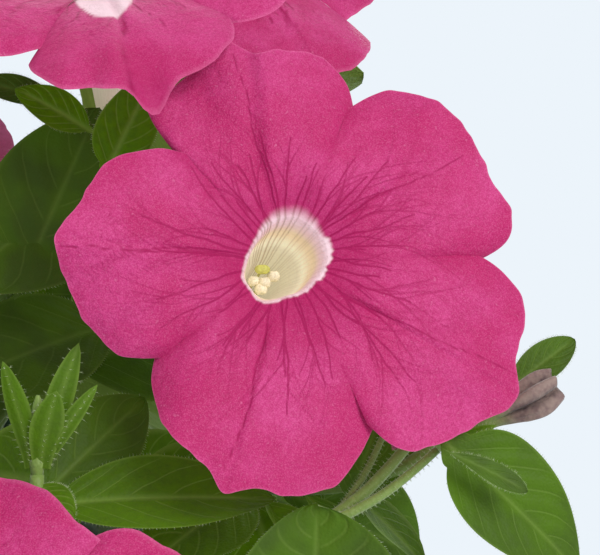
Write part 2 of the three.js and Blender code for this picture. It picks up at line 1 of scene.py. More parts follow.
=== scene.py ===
"""Petunia hanging basket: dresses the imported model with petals, leaves, soil, pot and hanger.

The plant is laid out in millimetres from the middle of the pot's mouth, with the rim at z = 0, and
is lowered by the length of the hanger when a mesh is made.
"""
import math
import random

import bpy
import numpy as np
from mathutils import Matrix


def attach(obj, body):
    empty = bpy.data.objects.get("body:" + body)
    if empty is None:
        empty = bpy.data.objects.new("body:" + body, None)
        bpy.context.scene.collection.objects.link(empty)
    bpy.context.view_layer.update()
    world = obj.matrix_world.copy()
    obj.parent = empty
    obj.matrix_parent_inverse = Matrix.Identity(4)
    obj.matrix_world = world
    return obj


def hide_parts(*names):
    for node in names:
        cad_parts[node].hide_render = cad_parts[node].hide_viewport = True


bl_info = {
    "name": "Petunia hanging basket",
    "version": (1, 0, 0),
    "blender": (4, 5, 0),
    "location": "View3D > Sidebar > Petunia",
    "description": "Builds the petals, leaves, soil, pot and hanger of a petunia basket",
    "category": "Object",
}

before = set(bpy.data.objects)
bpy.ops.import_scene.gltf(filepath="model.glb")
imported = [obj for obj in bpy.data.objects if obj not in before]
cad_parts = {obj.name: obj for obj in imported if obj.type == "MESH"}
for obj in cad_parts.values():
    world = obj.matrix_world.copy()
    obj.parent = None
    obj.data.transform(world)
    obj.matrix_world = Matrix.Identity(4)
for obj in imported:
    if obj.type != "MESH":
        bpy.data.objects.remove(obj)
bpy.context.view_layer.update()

# ---- Sizes shared with the solids, in millimetres ---------------------------------------------
HANGER_DROP = 360
GAP = 0.35
POT_BASE, POT_MOUTH, POT_RIM, POT_HEIGHT = 62, 86, 96, 120
POT_WALL, POT_FLANGE, POT_SKIRT = 2, 3, 14
DRAIN_RADIUS, DRAIN_RING, DRAIN_COUNT = 5, 38, 5
SOIL_TOP, HOLE_DEPTH = -14, 24
ARM_RADIUS, ARM_REACH, ARM_TOP_REACH, ARM_KNOB, ARM_HOLE = 1.6, 89, 8, 2.9, 2.6
ARM_AZIMUTHS = (45, 165, 285)
HUB_RADIUS, HUB_HEIGHT, HUB_BOTTOM = 13, 12, 296
CROOK_RADIUS, CROOK_WIRE, CROOK_END = 12, 2.2, 205
STEM_ROOT, STEM_TIP, STEM_STEPS = 1.9, 1.25, 6
LEAF_LENGTH, LEAF_WIDTH, LEAF_DROOP, LEAF_FOLD, LEAF_STALK = 50, 31, 0.16, 0.22, 0.1
KNOB_LENGTH = 3
SEPAL_LENGTH, SEPAL_WIDTH, SEPAL_SPREAD = 15, 3.8, 0.46
FLOWER_RADIUS, MOUTH_RADIUS, LIMB_RISE, NOTCH = 40, 7.8, 6, 0.26
TUBE_LENGTH = 31
MOUND_WIDTH, MOUND_HEIGHT, MOUND_MIDDLE = 150, 145, 20
FACE = np.array((125.0, -90.0, 55.0))

# Outline of the front flower seen from the front: angle in degrees, distance from its throat.
FACE_OUTLINE = (
    (5.1, 38.8), (10.1, 39.7), (20.2, 37.8), (34.1, 38.2), (49, 36.9), (60.3, 33), (67.9, 27.2),
    (74.9, 32.6), (83.8, 35.3), (94.7, 35.8), (101.2, 35.8), (107.4, 39), (114.2, 36.4), (124.9, 35.6),
    (134.6, 33.9), (137.9, 25), (142.6, 28.9), (151.5, 33.9), (167.8, 37), (176.7, 39.5), (190.1, 37.8),
    (202.8, 35.9), (210.5, 33.9), (218.8, 28.3), (222.7, 31.3), (236.3, 36.4), (249.6, 39), (254.5, 41.7),
    (259.1, 40.6), (274.4, 41), (282.7, 39.6), (290.6, 34.6), (294.6, 32.1), (298.2, 37.5), (305.8, 41),
    (316.3, 43.8), (327.1, 46.8), (336.1, 43.4), (343.1, 43.1), (348.9, 41.5), (355.6, 36.6), (359, 32.3),
)
# Seams between its lobes, and the creases down the middle of the lobes: angle, depth.
FACE_SEAMS = ((-1, 1.5), (67.9, 1.7), (137.9, 3.0), (218.8, 2.2), (294.6, 1.7))
FACE_CREASES = ((34, 0.8), (106, 0.2), (176.5, 0.5), (254.6, 0.9), (327.6, 0.8))
# How far the edge of the front flower leans to the right and up.
FACE_LEAN = (0.9, 1.1)
# Its mouth is five-sided, and its pale ring reaches further up than down: angle, radius.
FACE_MOUTH = (
    (0, 7.2), (30, 7.2), (50, 7.0), (70, 7.3), (90, 7.1), (110, 6.8), (131, 6.3), (150, 6.2), (166, 6.4),
    (185, 7.1), (200, 8.1), (220, 8.2), (242, 8.6), (255, 7.7), (270, 6.8), (300, 6.5), (330, 6.4),
    (345, 6.8), (360, 7.2),
)
FACE_PALE = (
    (0, 7.9), (15, 8.2), (30, 7.9), (50, 7.9), (70, 8.5), (90, 8.2), (110, 7.8), (131, 6.8), (150, 6.4),
    (166, 6.55), (185, 7.25), (200, 8.2), (220, 8.35), (242, 8.75), (255, 7.85), (270, 7.0), (300, 6.75),
    (330, 6.9), (345, 7.4), (360, 7.9),
)


def near_face(right, back, up):
    return FACE + (right, back, up)


# The open flowers. The first four stand where the picture shows them: place of the mouth, direction of
# the tube, turn of the first seam, and where the shoot leaves the soil (bearing, distance). A flower may
# give its own seams and, for some lobes, the edge from seam to seam (angle, distance), and also bends of
# its petals (angle, width, depth, power), how much further out its pale throat reaches (angle, width,
# millimetres) and painted shade on a fold that turns away from the light (angle, width). The others have a
# place on the plant's mound: bearing, angle from the top, share of its size.
FLOWERS = [
    {"at": near_face(-1, 0, 2), "axis": (0.265, -0.927, 0.265), "front": True},
    {"at": near_face(-36, 28, 53), "axis": (-0.05, -0.5, 0.87), "turn": 33.4, "root": (-62, 32),
     "seams": (33.4, 105.4, 177.4, 260, 326), "pale": (286, 22, 14), "shaded_fold": (292, 6),
     "bends": ((275, 34, 0.9, 2), (291, 4.5, 6.5, 3), (301, 12, 3.4, 2)),
     "edges": {3: ((260, 33.5), (264.8, 38), (270.6, 42), (277, 41.5), (281.4, 43.5), (286, 43.5),
                   (291.5, 44.5), (297, 42), (303, 40.5), (311, 39.5), (319, 37), (326, 32))}},
    {"at": near_face(-14.5, 120, 69.5), "axis": (0.35, -0.62, 0.7), "turn": 28.7,
     "edges": {3: ((244.7, 29.6), (255, 37), (268, 40), (280, 41.5), (291, 41.8), (300, 40), (309, 37.7),
                   (313.5, 35), (316.7, 29.5)),
               4: ((316.7, 29.5), (324, 31), (333, 33.4), (341, 35), (352, 37), (365, 38.5), (378, 37),
                   (388.7, 29.6))}},
    {"at": near_face(-48.5, -40, -69.5), "axis": (0.05, -0.9, 0.43), "turn": 56.5, "root": (-72, 40),
     "edges": {0: ((56.5, 32.6), (62, 33), (67.6, 34.2), (73, 36.1), (77.7, 37.7), (85, 38.9), (95, 39.5),
                   (110, 38.5), (120, 36), (128.5, 29.6)),
               4: ((344.5, 29.6), (354, 35), (365, 38), (380, 40), (399.5, 39.8), (406.9, 38.2),
                   (411.5, 36.8), (414.3, 34.6), (416.5, 32.6))}},
] + [{"place": place} for place in (
    (-135, 19, 1), (-90, 70, 1), (-113, 106, 1.08), (-139, 76, 1), (-122, 43, 1.02), (172, 96, 1),
    (148, 50, 1), (127, 82, 1), (84, 62, 1), (98, 108, 1.08), (31, 86, 1), (6, 121, 1.2))]
# How finely the petals of the front flower and of the others are meshed: across a lobe, along it.
FRONT_MESH, OTHER_MESH = (140, 105), (46, 34)
# The anthers and, last, the stigma: behind the mouth, right, up, radius.
ANTHERS = ((9.6, -3.4, -1.5, 1.1), (9.0, -1.7, -1.9, 1.15), (9.4, -2.3, -3.0, 1.15),
           (9.2, 0.1, -0.7, 1.15), (8.6, -2.0, 0.4, 0.95))
# The faded flower: length, and radius along it.
FADED_LENGTH = 20.6
FADED_RADII = ((0, 1.7), (5, 1.8), (8, 2.0), (11, 2.8), (14, 3.9), (18.5, 4.0), (FADED_LENGTH, 3.1))
# Crumbs and grit on the soil, hairs on a stem and on a sepal, and young leaves on a shoot.
CRUMBS, STEM_HAIRS, SEPAL_HAIRS, YOUNG_LEAVES = 420, 260, 120, 9
# The camera's place, in metres from the middle of the pot's mouth.
EYE = (0.1264, -0.523, 0.0537)
# Lamps: name, place, size in metres, share of the main light's power.
LAMPS = (("Main light", (1.0, -1.3, 0.5), 1.0, 1.0), ("Side light", (-1.2, -0.5, 0.2), 1.2, 0.35),
         ("Back light", (0.2, 1.4, 0.6), 1.0, 0.6))


# ---- Small helpers ----------------------------------------------------------------------------
def mix(a, b, t):
    return a + (b - a) * t


def unit(v):
    v = np.asarray(v, float)
    return v / np.linalg.norm(v)


def smooth(t):
    t = np.clip(t, 0, 1)
    return t * t * (3 - 2 * t)


def square_to(axis):
    """Two directions square to an axis and to each other."""
    across = unit(np.cross(axis, (0.1, 0.2, 1)))
    return across, np.cross(axis, across)


def ball(rows, columns, edge):
    """Angles from the pole and round it, as grids that leave a small hole at each pole."""
    turn = np.linspace(0, 2 * np.pi, columns, endpoint=False)
    return np.meshgrid(np.linspace(edge, np.pi - edge, rows), turn, indexing="ij")


def draw(a, b, c):
    """A repeatable draw between 0 and 1 for three whole numbers."""
    n = (a * 7919 + b * 104729 + c * 1299709 + 17) % 2147483647
    for _ in range(4):
        n = (n * 16807) % 2147483647
    return n / 2147483647


def on_mound(azimuth, down, share):
    r = MOUND_WIDTH * share * math.sin(math.radians(down))
    z = MOUND_MIDDLE + MOUND_HEIGHT * share * math.cos(math.radians(down))
    return np.array((r * math.cos(math.radians(azimuth)), r * math.sin(math.radians(azimuth)), z))


def outward(p):
    return unit((p[0] / MOUND_WIDTH ** 2, p[1] / MOUND_WIDTH ** 2, (p[2] - MOUND_MIDDLE) / MOUND_HEIGHT ** 2))


def through(x, xs, ys):
    """A smooth curve through the points (xs, ys), read at x."""
    xs, ys, x = np.asarray(xs, float), np.asarray(ys, float), np.asarray(x, float)
    slope = np.gradient(ys, xs)
    k = np.clip(np.searchsorted(xs, x) - 1, 0, len(xs) - 2)
    h = xs[k + 1] - xs[k]
    t = np.clip((x - xs[k]) / h, 0, 1)
    return ((2 * t ** 3 - 3 * t ** 2 + 1) * ys[k] + (t ** 3 - 2 * t ** 2 + t) * h * slope[k]
            + (3 * t ** 2 - 2 * t ** 3) * ys[k + 1] + (t ** 3 - t ** 2) * h * slope[k + 1])


class Patchwork:
    """Points, faces, material numbers and per-point fields of one piece, gathered patch by patch."""

    def __init__(self, *fields):
        self.names = fields
        self.points, self.faces, self.numbers = [], [], []
        self.fields = {name: [] for name in fields}
        self.count = 0

    def add(self, points, faces, number=0, **fields):
        points = np.asarray(points, float).reshape(-1, 3)
        self.faces += (np.asarray(faces) + self.count).tolist()
        self.numbers += [number] * len(faces)
        self.points.append(points)
        for name in self.names:
            value = np.asarray(fields.get(name, 0.0), float).reshape(-1)
            self.fields[name].append(np.broadcast_to(value, len(points)))
        self.count += len(points)

    def grid(self, points, number=0, closed=False, **fields):
        """A sheet through a grid of points; closed joins its last column to its first."""
        rows, columns = points.shape[:2]
        index = np.arange(rows * columns).reshape(rows, columns)
        if closed:
            index = np.hstack((index, index[:, :1]))
        quads = np.stack((index[:-1, :-1], index[:-1, 1:], index[1:, 1:], index[1:, :-1]), -1)
        flat = {name: np.broadcast_to(value, (rows, columns)).reshape(-1) for name, value in fields.items()}
        self.add(points, quads.reshape(-1, 4), number, **flat)

    def piece(self, name, materials, nodes, slot, merge=False):
        """Make the object, in metres. With merge, points at one place become one."""
        points = np.vstack(self.points)
        faces = self.faces
        fields = {key: np.concatenate(value) for key, value in self.fields.items()}
        numbers = np.array(self.numbers)
        if merge:
            _, first, inverse = np.unique(np.round(points, 4), axis=0, return_index=True, return_inverse=True)
            inverse = inverse.reshape(-1)
            points = points[first]
            fields = {key: value[first] for key, value in fields.items()}
            kept = [(tuple(dict.fromkeys(inverse[list(f)].tolist())), n) for f, n in zip(faces, numbers)]
            kept = [(f, n) for f, n in kept if len(f) > 2]
            faces = [f for f, _ in kept]
            numbers = np.array([n for _, n in kept])
        mesh = bpy.data.meshes.new(name)
        mesh.from_pydata(((points - (0, 0, HANGER_DROP)) / 1000).tolist(), [], faces)
        mesh.polygons.foreach_set("use_smooth", [True] * len(mesh.polygons))
        mesh.polygons.foreach_set("material_index", numbers)
        for key, value in fields.items():
            mesh.attributes.new(key, "FLOAT", "POINT").data.foreach_set("value", value)
        for material in materials:
            mesh.materials.append(material)
        mesh.update()
        piece = bpy.data.objects.new(name, mesh)
        bpy.context.scene.collection.objects.link(piece)
        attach(piece, "root")
        if nodes:
            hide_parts(*nodes)
        return piece


def rings_along(path, radii, sides, across=None):
    """Rings of points square to a path."""
    path = np.asarray(path, float)
    ahead = np.gradient(path, axis=0)
    ahead /= np.linalg.norm(ahead, axis=1)[:, None]
    across = np.array((0, 0, 1.0) if abs(ahead[0][2]) < 0.9 else (1.0, 0, 0)) if across is None else across
    turn = np.linspace(0, 2 * np.pi, sides, endpoint=False)
    rings = []
    for p, a, r in zip(path, ahead, radii):
        across = unit(across - a * across.dot(a))
        other = np.cross(a, across)
        rings.append(p + r * (np.outer(np.cos(turn), across) + np.outer(np.sin(turn), other)))
    return np.array(rings)


def rod(work, path, radii, sides, number=0, **fields):
    """A round rod of changing radius with closed ends."""
    rings = rings_along(path, radii, sides)
    ends = np.array([[path[0]] * sides, [path[-1]] * sides], float)
    work.grid(np.concatenate((ends[:1], rings, ends[1:])), number, closed=True, **fields)


def turned(work, profile, segments, number=0, **fields):
    """A profile of (radius, height) turned about the upright axis."""
    turn = np.linspace(0, 2 * np.pi, segments, endpoint=False)
    points = np.array([[(r * math.cos(a), r * math.sin(a), z) for a in turn] for r, z in profile])
    work.grid(points, number, closed=True, **fields)


# ---- Materials --------------------------------------------------------------------------------
def linear(colour):
    """A screen colour of 0 to 255 as the colour that shaders use."""
    share = [c / 255 for c in colour]
    return tuple(c / 12.92 if c <= 0.04045 else ((c + 0.055) / 1.055) ** 2.4 for c in share) + (1.0,)


class Nodes:
    """Short words for placing nodes in a tree."""

    def __init__(self, tree):
        self.tree = tree

    def add(self, kind, **settings):
        node = self.tree.nodes.new(kind)
        for key, value in settings.items():
            setattr(node, key, value)
        return node

    def link(self, source, target):
        self.tree.links.new(source, target)

    def give(self, socket, value):
        """Feed a socket from another one, or set it to a number or a colour."""
        if isinstance(value, bpy.types.NodeSocket):
            self.link(value, socket)
        else:
            socket.default_value = value if isinstance(value, (int, float)) else tuple(value)

    def use(self, tree, values):
        """Place a shared node group with a value for each of its inputs."""
        node = self.add("ShaderNodeGroup", node_tree=tree)
        for key, value in values.items():
            self.give(node.inputs[key], value)
        return node.outputs

    def field(self, name):
        return self.add("ShaderNodeAttribute", attribute_name=name).outputs["Fac"]

    def place(self):
        return self.add("ShaderNodeTexCoord").outputs["Object"]

    def behind(self):
        return self.add("ShaderNodeNewGeometry").outputs["Backfacing"]

    def noise(self, scale, detail, roughness=0.55):
        node = self.add("ShaderNodeTexNoise")
        self.link(self.place(), node.inputs["Vector"])
        for key, number in (("Scale", scale), ("Detail", detail), ("Roughness", roughness)):
            node.inputs[key].default_value = number
        return node.outputs["Fac"]

    def ramp(self, value, low, high, start=0.0, end=1.0):
        node = self.add("ShaderNodeMapRange", interpolation_type="SMOOTHSTEP")
        self.link(value, node.inputs["Value"])
        for key, number in (("From Min", low), ("From Max", high), ("To Min", start), ("To Max", end)):
            node.inputs[key].default_value = number
        return node.outputs["Result"]

    def maths(self, operation, a, b):
        node = self.add("ShaderNodeMath", operation=operation)
        for socket, value in zip(node.inputs, (a, b)):
            self.give(socket, value)
        return node.outputs[0]

    def times(self, a, b):
        return self.maths("MULTIPLY", a, b)

    def mixed(self, factor, a, b):
        node = self.add("ShaderNodeMix", data_type="RGBA", clamp_factor=True)
        for number, value in ((0, factor), (6, a), (7, b)):
            self.give(node.inputs[number], value)
        return node.outputs[2]

    def tinted(self, colour, mask, share, tint):
        """The colour, with a share of the tint where the mask is white."""
        return self.mixed(self.times(mask, share), colour, tint)

    def bump(self, height, strength, distance, under=None):
        node = self.add("ShaderNodeBump")
        node.inputs["Strength"].default_value = strength
        node.inputs["Distance"].default_value = distance
        self.link(height, node.inputs["Height"])
        if under:
            self.link(under, node.inputs["Normal"])
        return node.outputs["Normal"]


def new_material(name, roughness):
    material = bpy.data.materials.get(name) or bpy.data.materials.new(name)
    material.use_nodes = True
    material.node_tree.nodes.clear()
    nodes = Nodes(material.node_tree)
    output = nodes.add("ShaderNodeOutputMaterial")
    shader = nodes.add("ShaderNodeBsdfPrincipled")
    nodes.link(shader.outputs[0], output.inputs[0])
    shader.inputs["Roughness"].default_value = roughness
    return material, nodes, shader


def paint(nodes, shader, colour, normal, values=()):
    """Give a shader its colour and normal, and its other sockets plain values."""
    nodes.link(colour, shader.inputs["Base Color"])
    nodes.link(normal, shader.inputs["Normal"])
    for key, value in values:
        nodes.give(shader.inputs[key], value)


def shared_group(name, inputs, outputs, build):
    """A node group with float sockets, built the first time that it is asked for."""
    tree = bpy.data.node_groups.get(name)
    if tree:
        return tree
    tree = bpy.data.node_groups.new(name, "ShaderNodeTree")
    for in_out, sockets in (("INPUT", inputs), ("OUTPUT", outputs)):
        for socket in sockets:
            tree.interface.new_socket(socket, in_out=in_out, socket_type="NodeSocketFloat")
    nodes = Nodes(tree)
    build(nodes, nodes.add("NodeGroupInput").outputs, nodes.add("NodeGroupOutput").inputs)
    return tree


def build_skin(nodes, given, out):
    """Fine cells of a plant's skin: a mask that darkens, a mask of pale specks, and a height."""
    place = nodes.place()
    cells = nodes.add("ShaderNodeTexVoronoi")
    grain = nodes.add("ShaderNodeTexNoise")
    patches = nodes.add("ShaderNodeTexNoise")
    for node, factor in ((cells, 1.0), (grain, 0.45), (patches, 0.06)):
        nodes.link(place, node.inputs["Vector"])
        nodes.link(nodes.times(given["Cell size"], factor), node.inputs["Scale"])
    fine, broad = nodes.times(grain.outputs["Fac"], 0.65), nodes.times(patches.outputs["Fac"], 0.35)
    both = nodes.maths("ADD", fine, broad)
    nodes.link(nodes.ramp(both, 0.36, 0.64), out["Mottle"])
    nodes.link(nodes.ramp(grain.outputs["Fac"], 0.66, 0.76), out["Specks"])
    nodes.link(nodes.maths("SUBTRACT", 1.0, cells.outputs["Distance"]), out["Height"])


def skin(nodes, cell_size):
    tree = shared_group("Plant skin", ("Cell size",), ("Mottle", "Specks", "Height"), build_skin)
    return nodes.use(tree, {"Cell size": cell_size})


def build_fine_veins(nodes, given, out):
    """A net of fine veins that runs outwards, from a bearing in degrees and a distance in millimetres."""
    turn = nodes.times(nodes.maths("DIVIDE", given["Bearing"], 360.0), given["Count"])
    turn = nodes.maths("ADD", turn, nodes.times(nodes.noise(420, 2), 0.9))
    where = nodes.add("ShaderNodeCombineXYZ")
    nodes.link(turn, where.inputs[0])
    nodes.link(nodes.times(given["Distance"], given["Stretch"]), where.inputs[1])
    cells = nodes.add("ShaderNodeTexVoronoi", voronoi_dimensions="2D", feature="DISTANCE_TO_EDGE")
    cells.inputs["Scale"].default_value = 1.0
    nodes.link(where.outputs[0], cells.inputs["Vector"])
    width = nodes.maths("DIVIDE", nodes.times(given["Distance"], 6.283), given["Count"])
    line = nodes.ramp(nodes.times(cells.outputs["Distance"], width), 0.03, 0.15, 1.0, 0.0)
    broken = nodes.ramp(nodes.noise(900, 2), 0.36, 0.6)
    nodes.link(nodes.times(line, broken), out["Mask"])


def petal_material(plant):
    material, nodes, shader = new_material("Petal", 0.6)
    cells = skin(nodes, 3000)
    vein, reach, depth, throat = (nodes.field(name) for name in ("vein", "reach", "depth", "throat"))
    dark, pale = plant.petal_dark, plant.petal_pale
    colour = nodes.mixed(nodes.ramp(nodes.noise(70, 3), 0.34, 0.66), plant.petal_colour, plant.petal_light)
    colour = nodes.tinted(colour, cells["Mottle"], 0.42, dark)
    grain = nodes.noise(4600, 2, 0.7)
    colour = nodes.mixed(nodes.ramp(grain, 0.42, 0.7, 0.0, 0.4), colour, dark)
    colour = nodes.mixed(nodes.ramp(grain, 0.36, 0.52, 0.2, 0.0), colour, pale)
    colour = nodes.tinted(colour, cells["Specks"], 0.3, pale)
    colour = nodes.tinted(colour, nodes.field("shade"), 0.5, dark)
    inputs = ("Bearing", "Distance", "Count", "Stretch")
    tree = shared_group("Fine veins", inputs, ("Mask",), build_fine_veins)
    net = nodes.use(tree, {"Bearing": nodes.field("bearing"), "Distance": reach, "Count": 78, "Stretch": 0.2})
    fine = nodes.times(net["Mask"], nodes.ramp(reach, 9, 30, 0.3, 0.1))
    lines = nodes.maths("MAXIMUM", nodes.ramp(vein, 0.08, 0.62), fine)
    colour = nodes.mixed(nodes.ramp(reach, 8, 20, 0.5, 0.0), colour, dark)
    colour = nodes.tinted(colour, lines, 0.9, plant.vein_colour)
    inside = nodes.mixed(nodes.ramp(depth, 0.3, 0.9), plant.throat_warm, plant.throat_deep)
    # Painted shade deep in the tube, where little light reaches, in the throat vein colour.
    inside = nodes.mixed(nodes.ramp(depth, 0.75, 1.0, 0.0, 0.3), inside, plant.throat_vein_and_shade)
    inside = nodes.mixed(nodes.ramp(depth, 0.0, 0.3, 1.0, 0.0), inside, plant.throat_colour)
    inside = nodes.tinted(inside, vein, 0.7, plant.throat_vein_and_shade)
    colour = nodes.mixed(throat, colour, inside)
    colour = nodes.tinted(colour, nodes.field("rim"), 0.25, pale)
    colour = nodes.tinted(colour, nodes.behind(), 0.3, pale)
    crumple = nodes.bump(nodes.noise(240, 3, 0.6), 0.55, 0.0011)
    relief = nodes.maths("SUBTRACT", nodes.times(cells["Height"], 0.5), lines)
    # The emission is the light that comes through the thin wall of the tube.
    glow = nodes.mixed(nodes.times(throat, depth), (0.0, 0.0, 0.0, 1.0), inside)
    paint(nodes, shader, colour, nodes.bump(relief, 0.5, 0.0002, crumple), (
        ("Emission Color", glow), ("Emission Strength", 0.46), ("Sheen Weight", 0.18),
        ("Sheen Roughness", 0.5), ("Sheen Tint", pale), ("Specular IOR Level", 0.2)))
    return material


def build_leaf_veins(nodes, given, out):
    """Side veins of a leaf, from the distance along it counted in veins, the side, and millimetres a vein."""
    wander = nodes.times(nodes.noise(120, 2), 0.3)
    left = nodes.times(nodes.maths("GREATER_THAN", given["Side"], 0.0), 0.45)
    along = nodes.maths("ADD", nodes.maths("ADD", given["Along"], left), wander)
    gap = nodes.times(nodes.maths("PINGPONG", along, 0.5), given["Spacing"])
    away = nodes.maths("ABSOLUTE", given["Side"], 0.0)
    line = nodes.ramp(gap, 0.08, 0.42, 1.0, 0.0)
    reach = nodes.times(nodes.ramp(away, 0.03, 0.12), nodes.ramp(away, 0.72, 1.0, 1.0, 0.0))
    nodes.link(nodes.times(line, reach), out["Mask"])


def leaf_material(plant):
    material, nodes, shader = new_material("Leaf", 0.5)
    cells = skin(nodes, 1800)
    names = ("Along", "Side", "Spacing")
    tree = shared_group("Leaf veins", names, ("Mask",), build_leaf_veins)
    side = nodes.use(tree, {name: nodes.field(name.lower()) for name in names})
    vein = nodes.maths("MAXIMUM", nodes.field("vein"), nodes.times(side["Mask"], 0.62))
    # The tone paints freshness and also shade: shaded leaves take the dark colour, lit ones the fresh colour.
    colour = nodes.mixed(nodes.field("tone"), plant.leaf_dark, plant.leaf_fresh)
    colour = nodes.tinted(colour, cells["Mottle"], 0.35, plant.leaf_dark)
    colour = nodes.mixed(nodes.ramp(nodes.noise(90, 2), 0.35, 0.7, 0.0, 0.35), colour, plant.leaf_fresh)
    clear = nodes.ramp(nodes.field("tone"), 0.0, 0.9, 0.14, 0.42)
    colour = nodes.tinted(colour, vein, clear, plant.leaf_pale)
    colour = nodes.tinted(colour, nodes.field("rim"), clear, plant.leaf_pale)
    colour = nodes.tinted(colour, nodes.behind(), 0.45, plant.leaf_pale)
    relief = nodes.maths("SUBTRACT", nodes.times(cells["Height"], 0.6), vein)
    # The emission is the light that comes through the blade.
    paint(nodes, shader, colour, nodes.bump(relief, 0.45, 0.0003), (
        ("Emission Color", colour), ("Emission Strength", 0.16), ("Sheen Weight", 0.02),
        ("Specular IOR Level", 0.12)))
    return material


def stem_material(plant):
    material, nodes, shader = new_material("Stem", 0.55)
    cells = skin(nodes, 1500)
    colour = nodes.mixed(nodes.field("tone"), plant.stem_colour, plant.leaf_pale)
    colour = nodes.tinted(colour, cells["Mottle"], 0.3, plant.leaf_fresh)
    paint(nodes, shader, colour, nodes.bump(cells["Height"], 0.35, 0.0003), (("Sheen Weight", 0.3),))
    return material


def hair_material(plant):
    material, nodes, shader = new_material("Plant hair", 0.6)
    tint = nodes.mixed(nodes.noise(300, 1), plant.leaf_pale, plant.hair_colour)
    nodes.link(tint, shader.inputs["Base Color"])
    return material


def faded_material(plant):
    material, nodes, shader = new_material("Faded petal", 0.8)
    cells = skin(nodes, 1400)
    # The vein attribute here is painted shade in the folds and inside the mouth of the faded flower.
    colour = nodes.mixed(nodes.field("vein"), plant.faded_colour, plant.faded_fold_shade)
    colour = nodes.tinted(colour, cells["Mottle"], 0.5, plant.faded_light)
    colour = nodes.mixed(nodes.field("throat"), colour, plant.stem_colour)
    paint(nodes, shader, colour, nodes.bump(cells["Height"], 0.5, 0.0002), (("Sheen Weight", 0.2),))
    return material


def anther_material(plant):
    material, nodes, shader = new_material("Anther", 0.7)
    cells = skin(nodes, 5000)
    colour = nodes.mixed(nodes.field("tone"), plant.anther_colour, plant.stigma_colour)
    colour = nodes.tinted(colour, cells["Mottle"], 0.3, plant.throat_vein_and_shade)
    paint(nodes, shader, colour, nodes.bump(cells["Height"], 0.6, 0.0001))
    return material


def plastic_material(basket):
    material, nodes, shader = new_material("Pot plastic", 0.42)
    cloud = nodes.noise(45, 4)
    colour = nodes.mixed(nodes.ramp(cloud, 0.35, 0.7), basket.pot_colour, basket.pot_light)
    colour = nodes.tinted(colour, nodes.ramp(nodes.noise(160, 5), 0.52, 0.75), 0.3, basket.dust_colour)
    nodes.link(nodes.ramp(cloud, 0.3, 0.75, 0.36, 0.56), shader.inputs["Roughness"])
    paint(nodes, shader, colour, nodes.bump(nodes.noise(1400, 3), 0.25, 0.0002))
    return material


def soil_material(basket):
    material, nodes, shader = new_material("Potting soil", 0.95)
    grains = nodes.noise(420, 6, 0.7)
    colour = nodes.mixed(nodes.ramp(grains, 0.35, 0.65), basket.soil_dark, basket.soil_colour)
    colour = nodes.tinted(colour, nodes.noise(50, 2), 0.4, basket.soil_dark)
    paint(nodes, shader, colour, nodes.bump(grains, 0.9, 0.0012))
    return material


def grit_material(basket):
    material, nodes, shader = new_material("Grit", 0.9)
    grains = nodes.noise(900, 3)
    colour = nodes.mixed(grains, basket.grit_colour, basket.soil_colour)
    paint(nodes, shader, colour, nodes.bump(grains, 0.5, 0.0003))
    return material


# ---- Where the plant's shoots run -------------------------------------------------------------
for number, flower in enumerate(FLOWERS):
    if "place" in flower:
        flower["at"] = on_mound(*flower["place"])
        lean = np.array((0.3 * (draw(number, 1, 1) - 0.5), 0.3 * (draw(number, 2, 1) - 0.5), 0.3))
        flower["axis"] = tuple(outward(flower["at"]) + lean)
        flower["turn"] = 72 * draw(number, 3, 1)


def curve_to(end, axis, root_at=None):
    """The four points of a shoot's cubic curve. One that ends low hangs down to its end."""
    reach = math.hypot(end[0], end[1])
    bearing = math.atan2(end[1], end[0])
    root_reach = root_at[1] if root_at else min(max(0.36 * reach, 14), 50)
    root_bearing = math.radians(root_at[0]) if root_at else bearing
    hang = min(max((20 - end[2]) / 60, 0), 1)
    climb_reach = mix(root_reach, reach, 0.58 + 0.22 * hang)
    root = (root_reach * math.cos(root_bearing), root_reach * math.sin(root_bearing), SOIL_TOP + 4)
    climb = (climb_reach * math.cos(bearing), climb_reach * math.sin(bearing), 60 + 0.5 * max(0, 60 - end[2]))
    lead = end - 20 * (1 - hang) * np.asarray(axis) + (0, 0, 40 * hang)
    return np.array((root, climb, lead, end))


def along_curve(curve, t):
    t = np.clip(np.asarray(t, float), 0, 1)[..., None]
    k = 1 - t
    return k ** 3 * curve[0] + 3 * k * k * t * curve[1] + 3 * k * t * t * curve[2] + t ** 3 * curve[3]


def on_stem(curve, t):
    ring = min(int(t * STEM_STEPS), STEM_STEPS - 1)
    a, b = along_curve(curve, np.array((ring, ring + 1)) / STEM_STEPS)
    return a + (b - a) * (t * STEM_STEPS - ring)


def ahead_on(curve, t):
    return unit(along_curve(curve, t + 0.02) - along_curve(curve, t - 0.02))


SHOOTS = []
for number, flower in enumerate(FLOWERS):
    axis = unit(flower["axis"])
    end = flower["at"] - axis * (TUBE_LENGTH + GAP + KNOB_LENGTH)
    SHOOTS.append({"name": f"shoot_{number + 1:02d}", "axis": axis, "leaves": 7, "given": [],
                   "curve": curve_to(end, axis, flower.get("root")), "sepals": True})
# Leaves near the front flower: share of the shoot, tip, width, the way they face, and tone (freshness and
# painted shade).
SHOOTS[0]["given"] = [(0.5, near_face(-62, 22, -18), 22, (0, -0.9, 0.45), 0.1)]
SHOOTS[1]["given"] = [
    (0.9, near_face(-60, 20, 0), 27, (0.25, -0.9, 0.35), 0.05),
    (0.8, near_face(-29, 60, 24), 16, (-0.2, -0.9, 0.4), 0.75),
]
SHOOTS.append({
    "name": "shoot_bud", "axis": unit((0.02, -0.12, 1)), "leaves": 4, "sepals": False,
    "curve": np.array(((39, -59, -10), (52, -79, 44), (82, -97, -6), near_face(-43.5, -6, -35))),
    "given": [
        (0.88, near_face(-3, -4, -35.5), 16, (0, -0.75, 0.65), 0.55),
        (0.97, near_face(-37, -13, -41), 6, (0, -0.8, 0.6), 0.7),
        (0.86, near_face(-25.4, 6, -21), 16, (0, -0.95, 0.2), 0.2),
    ]})
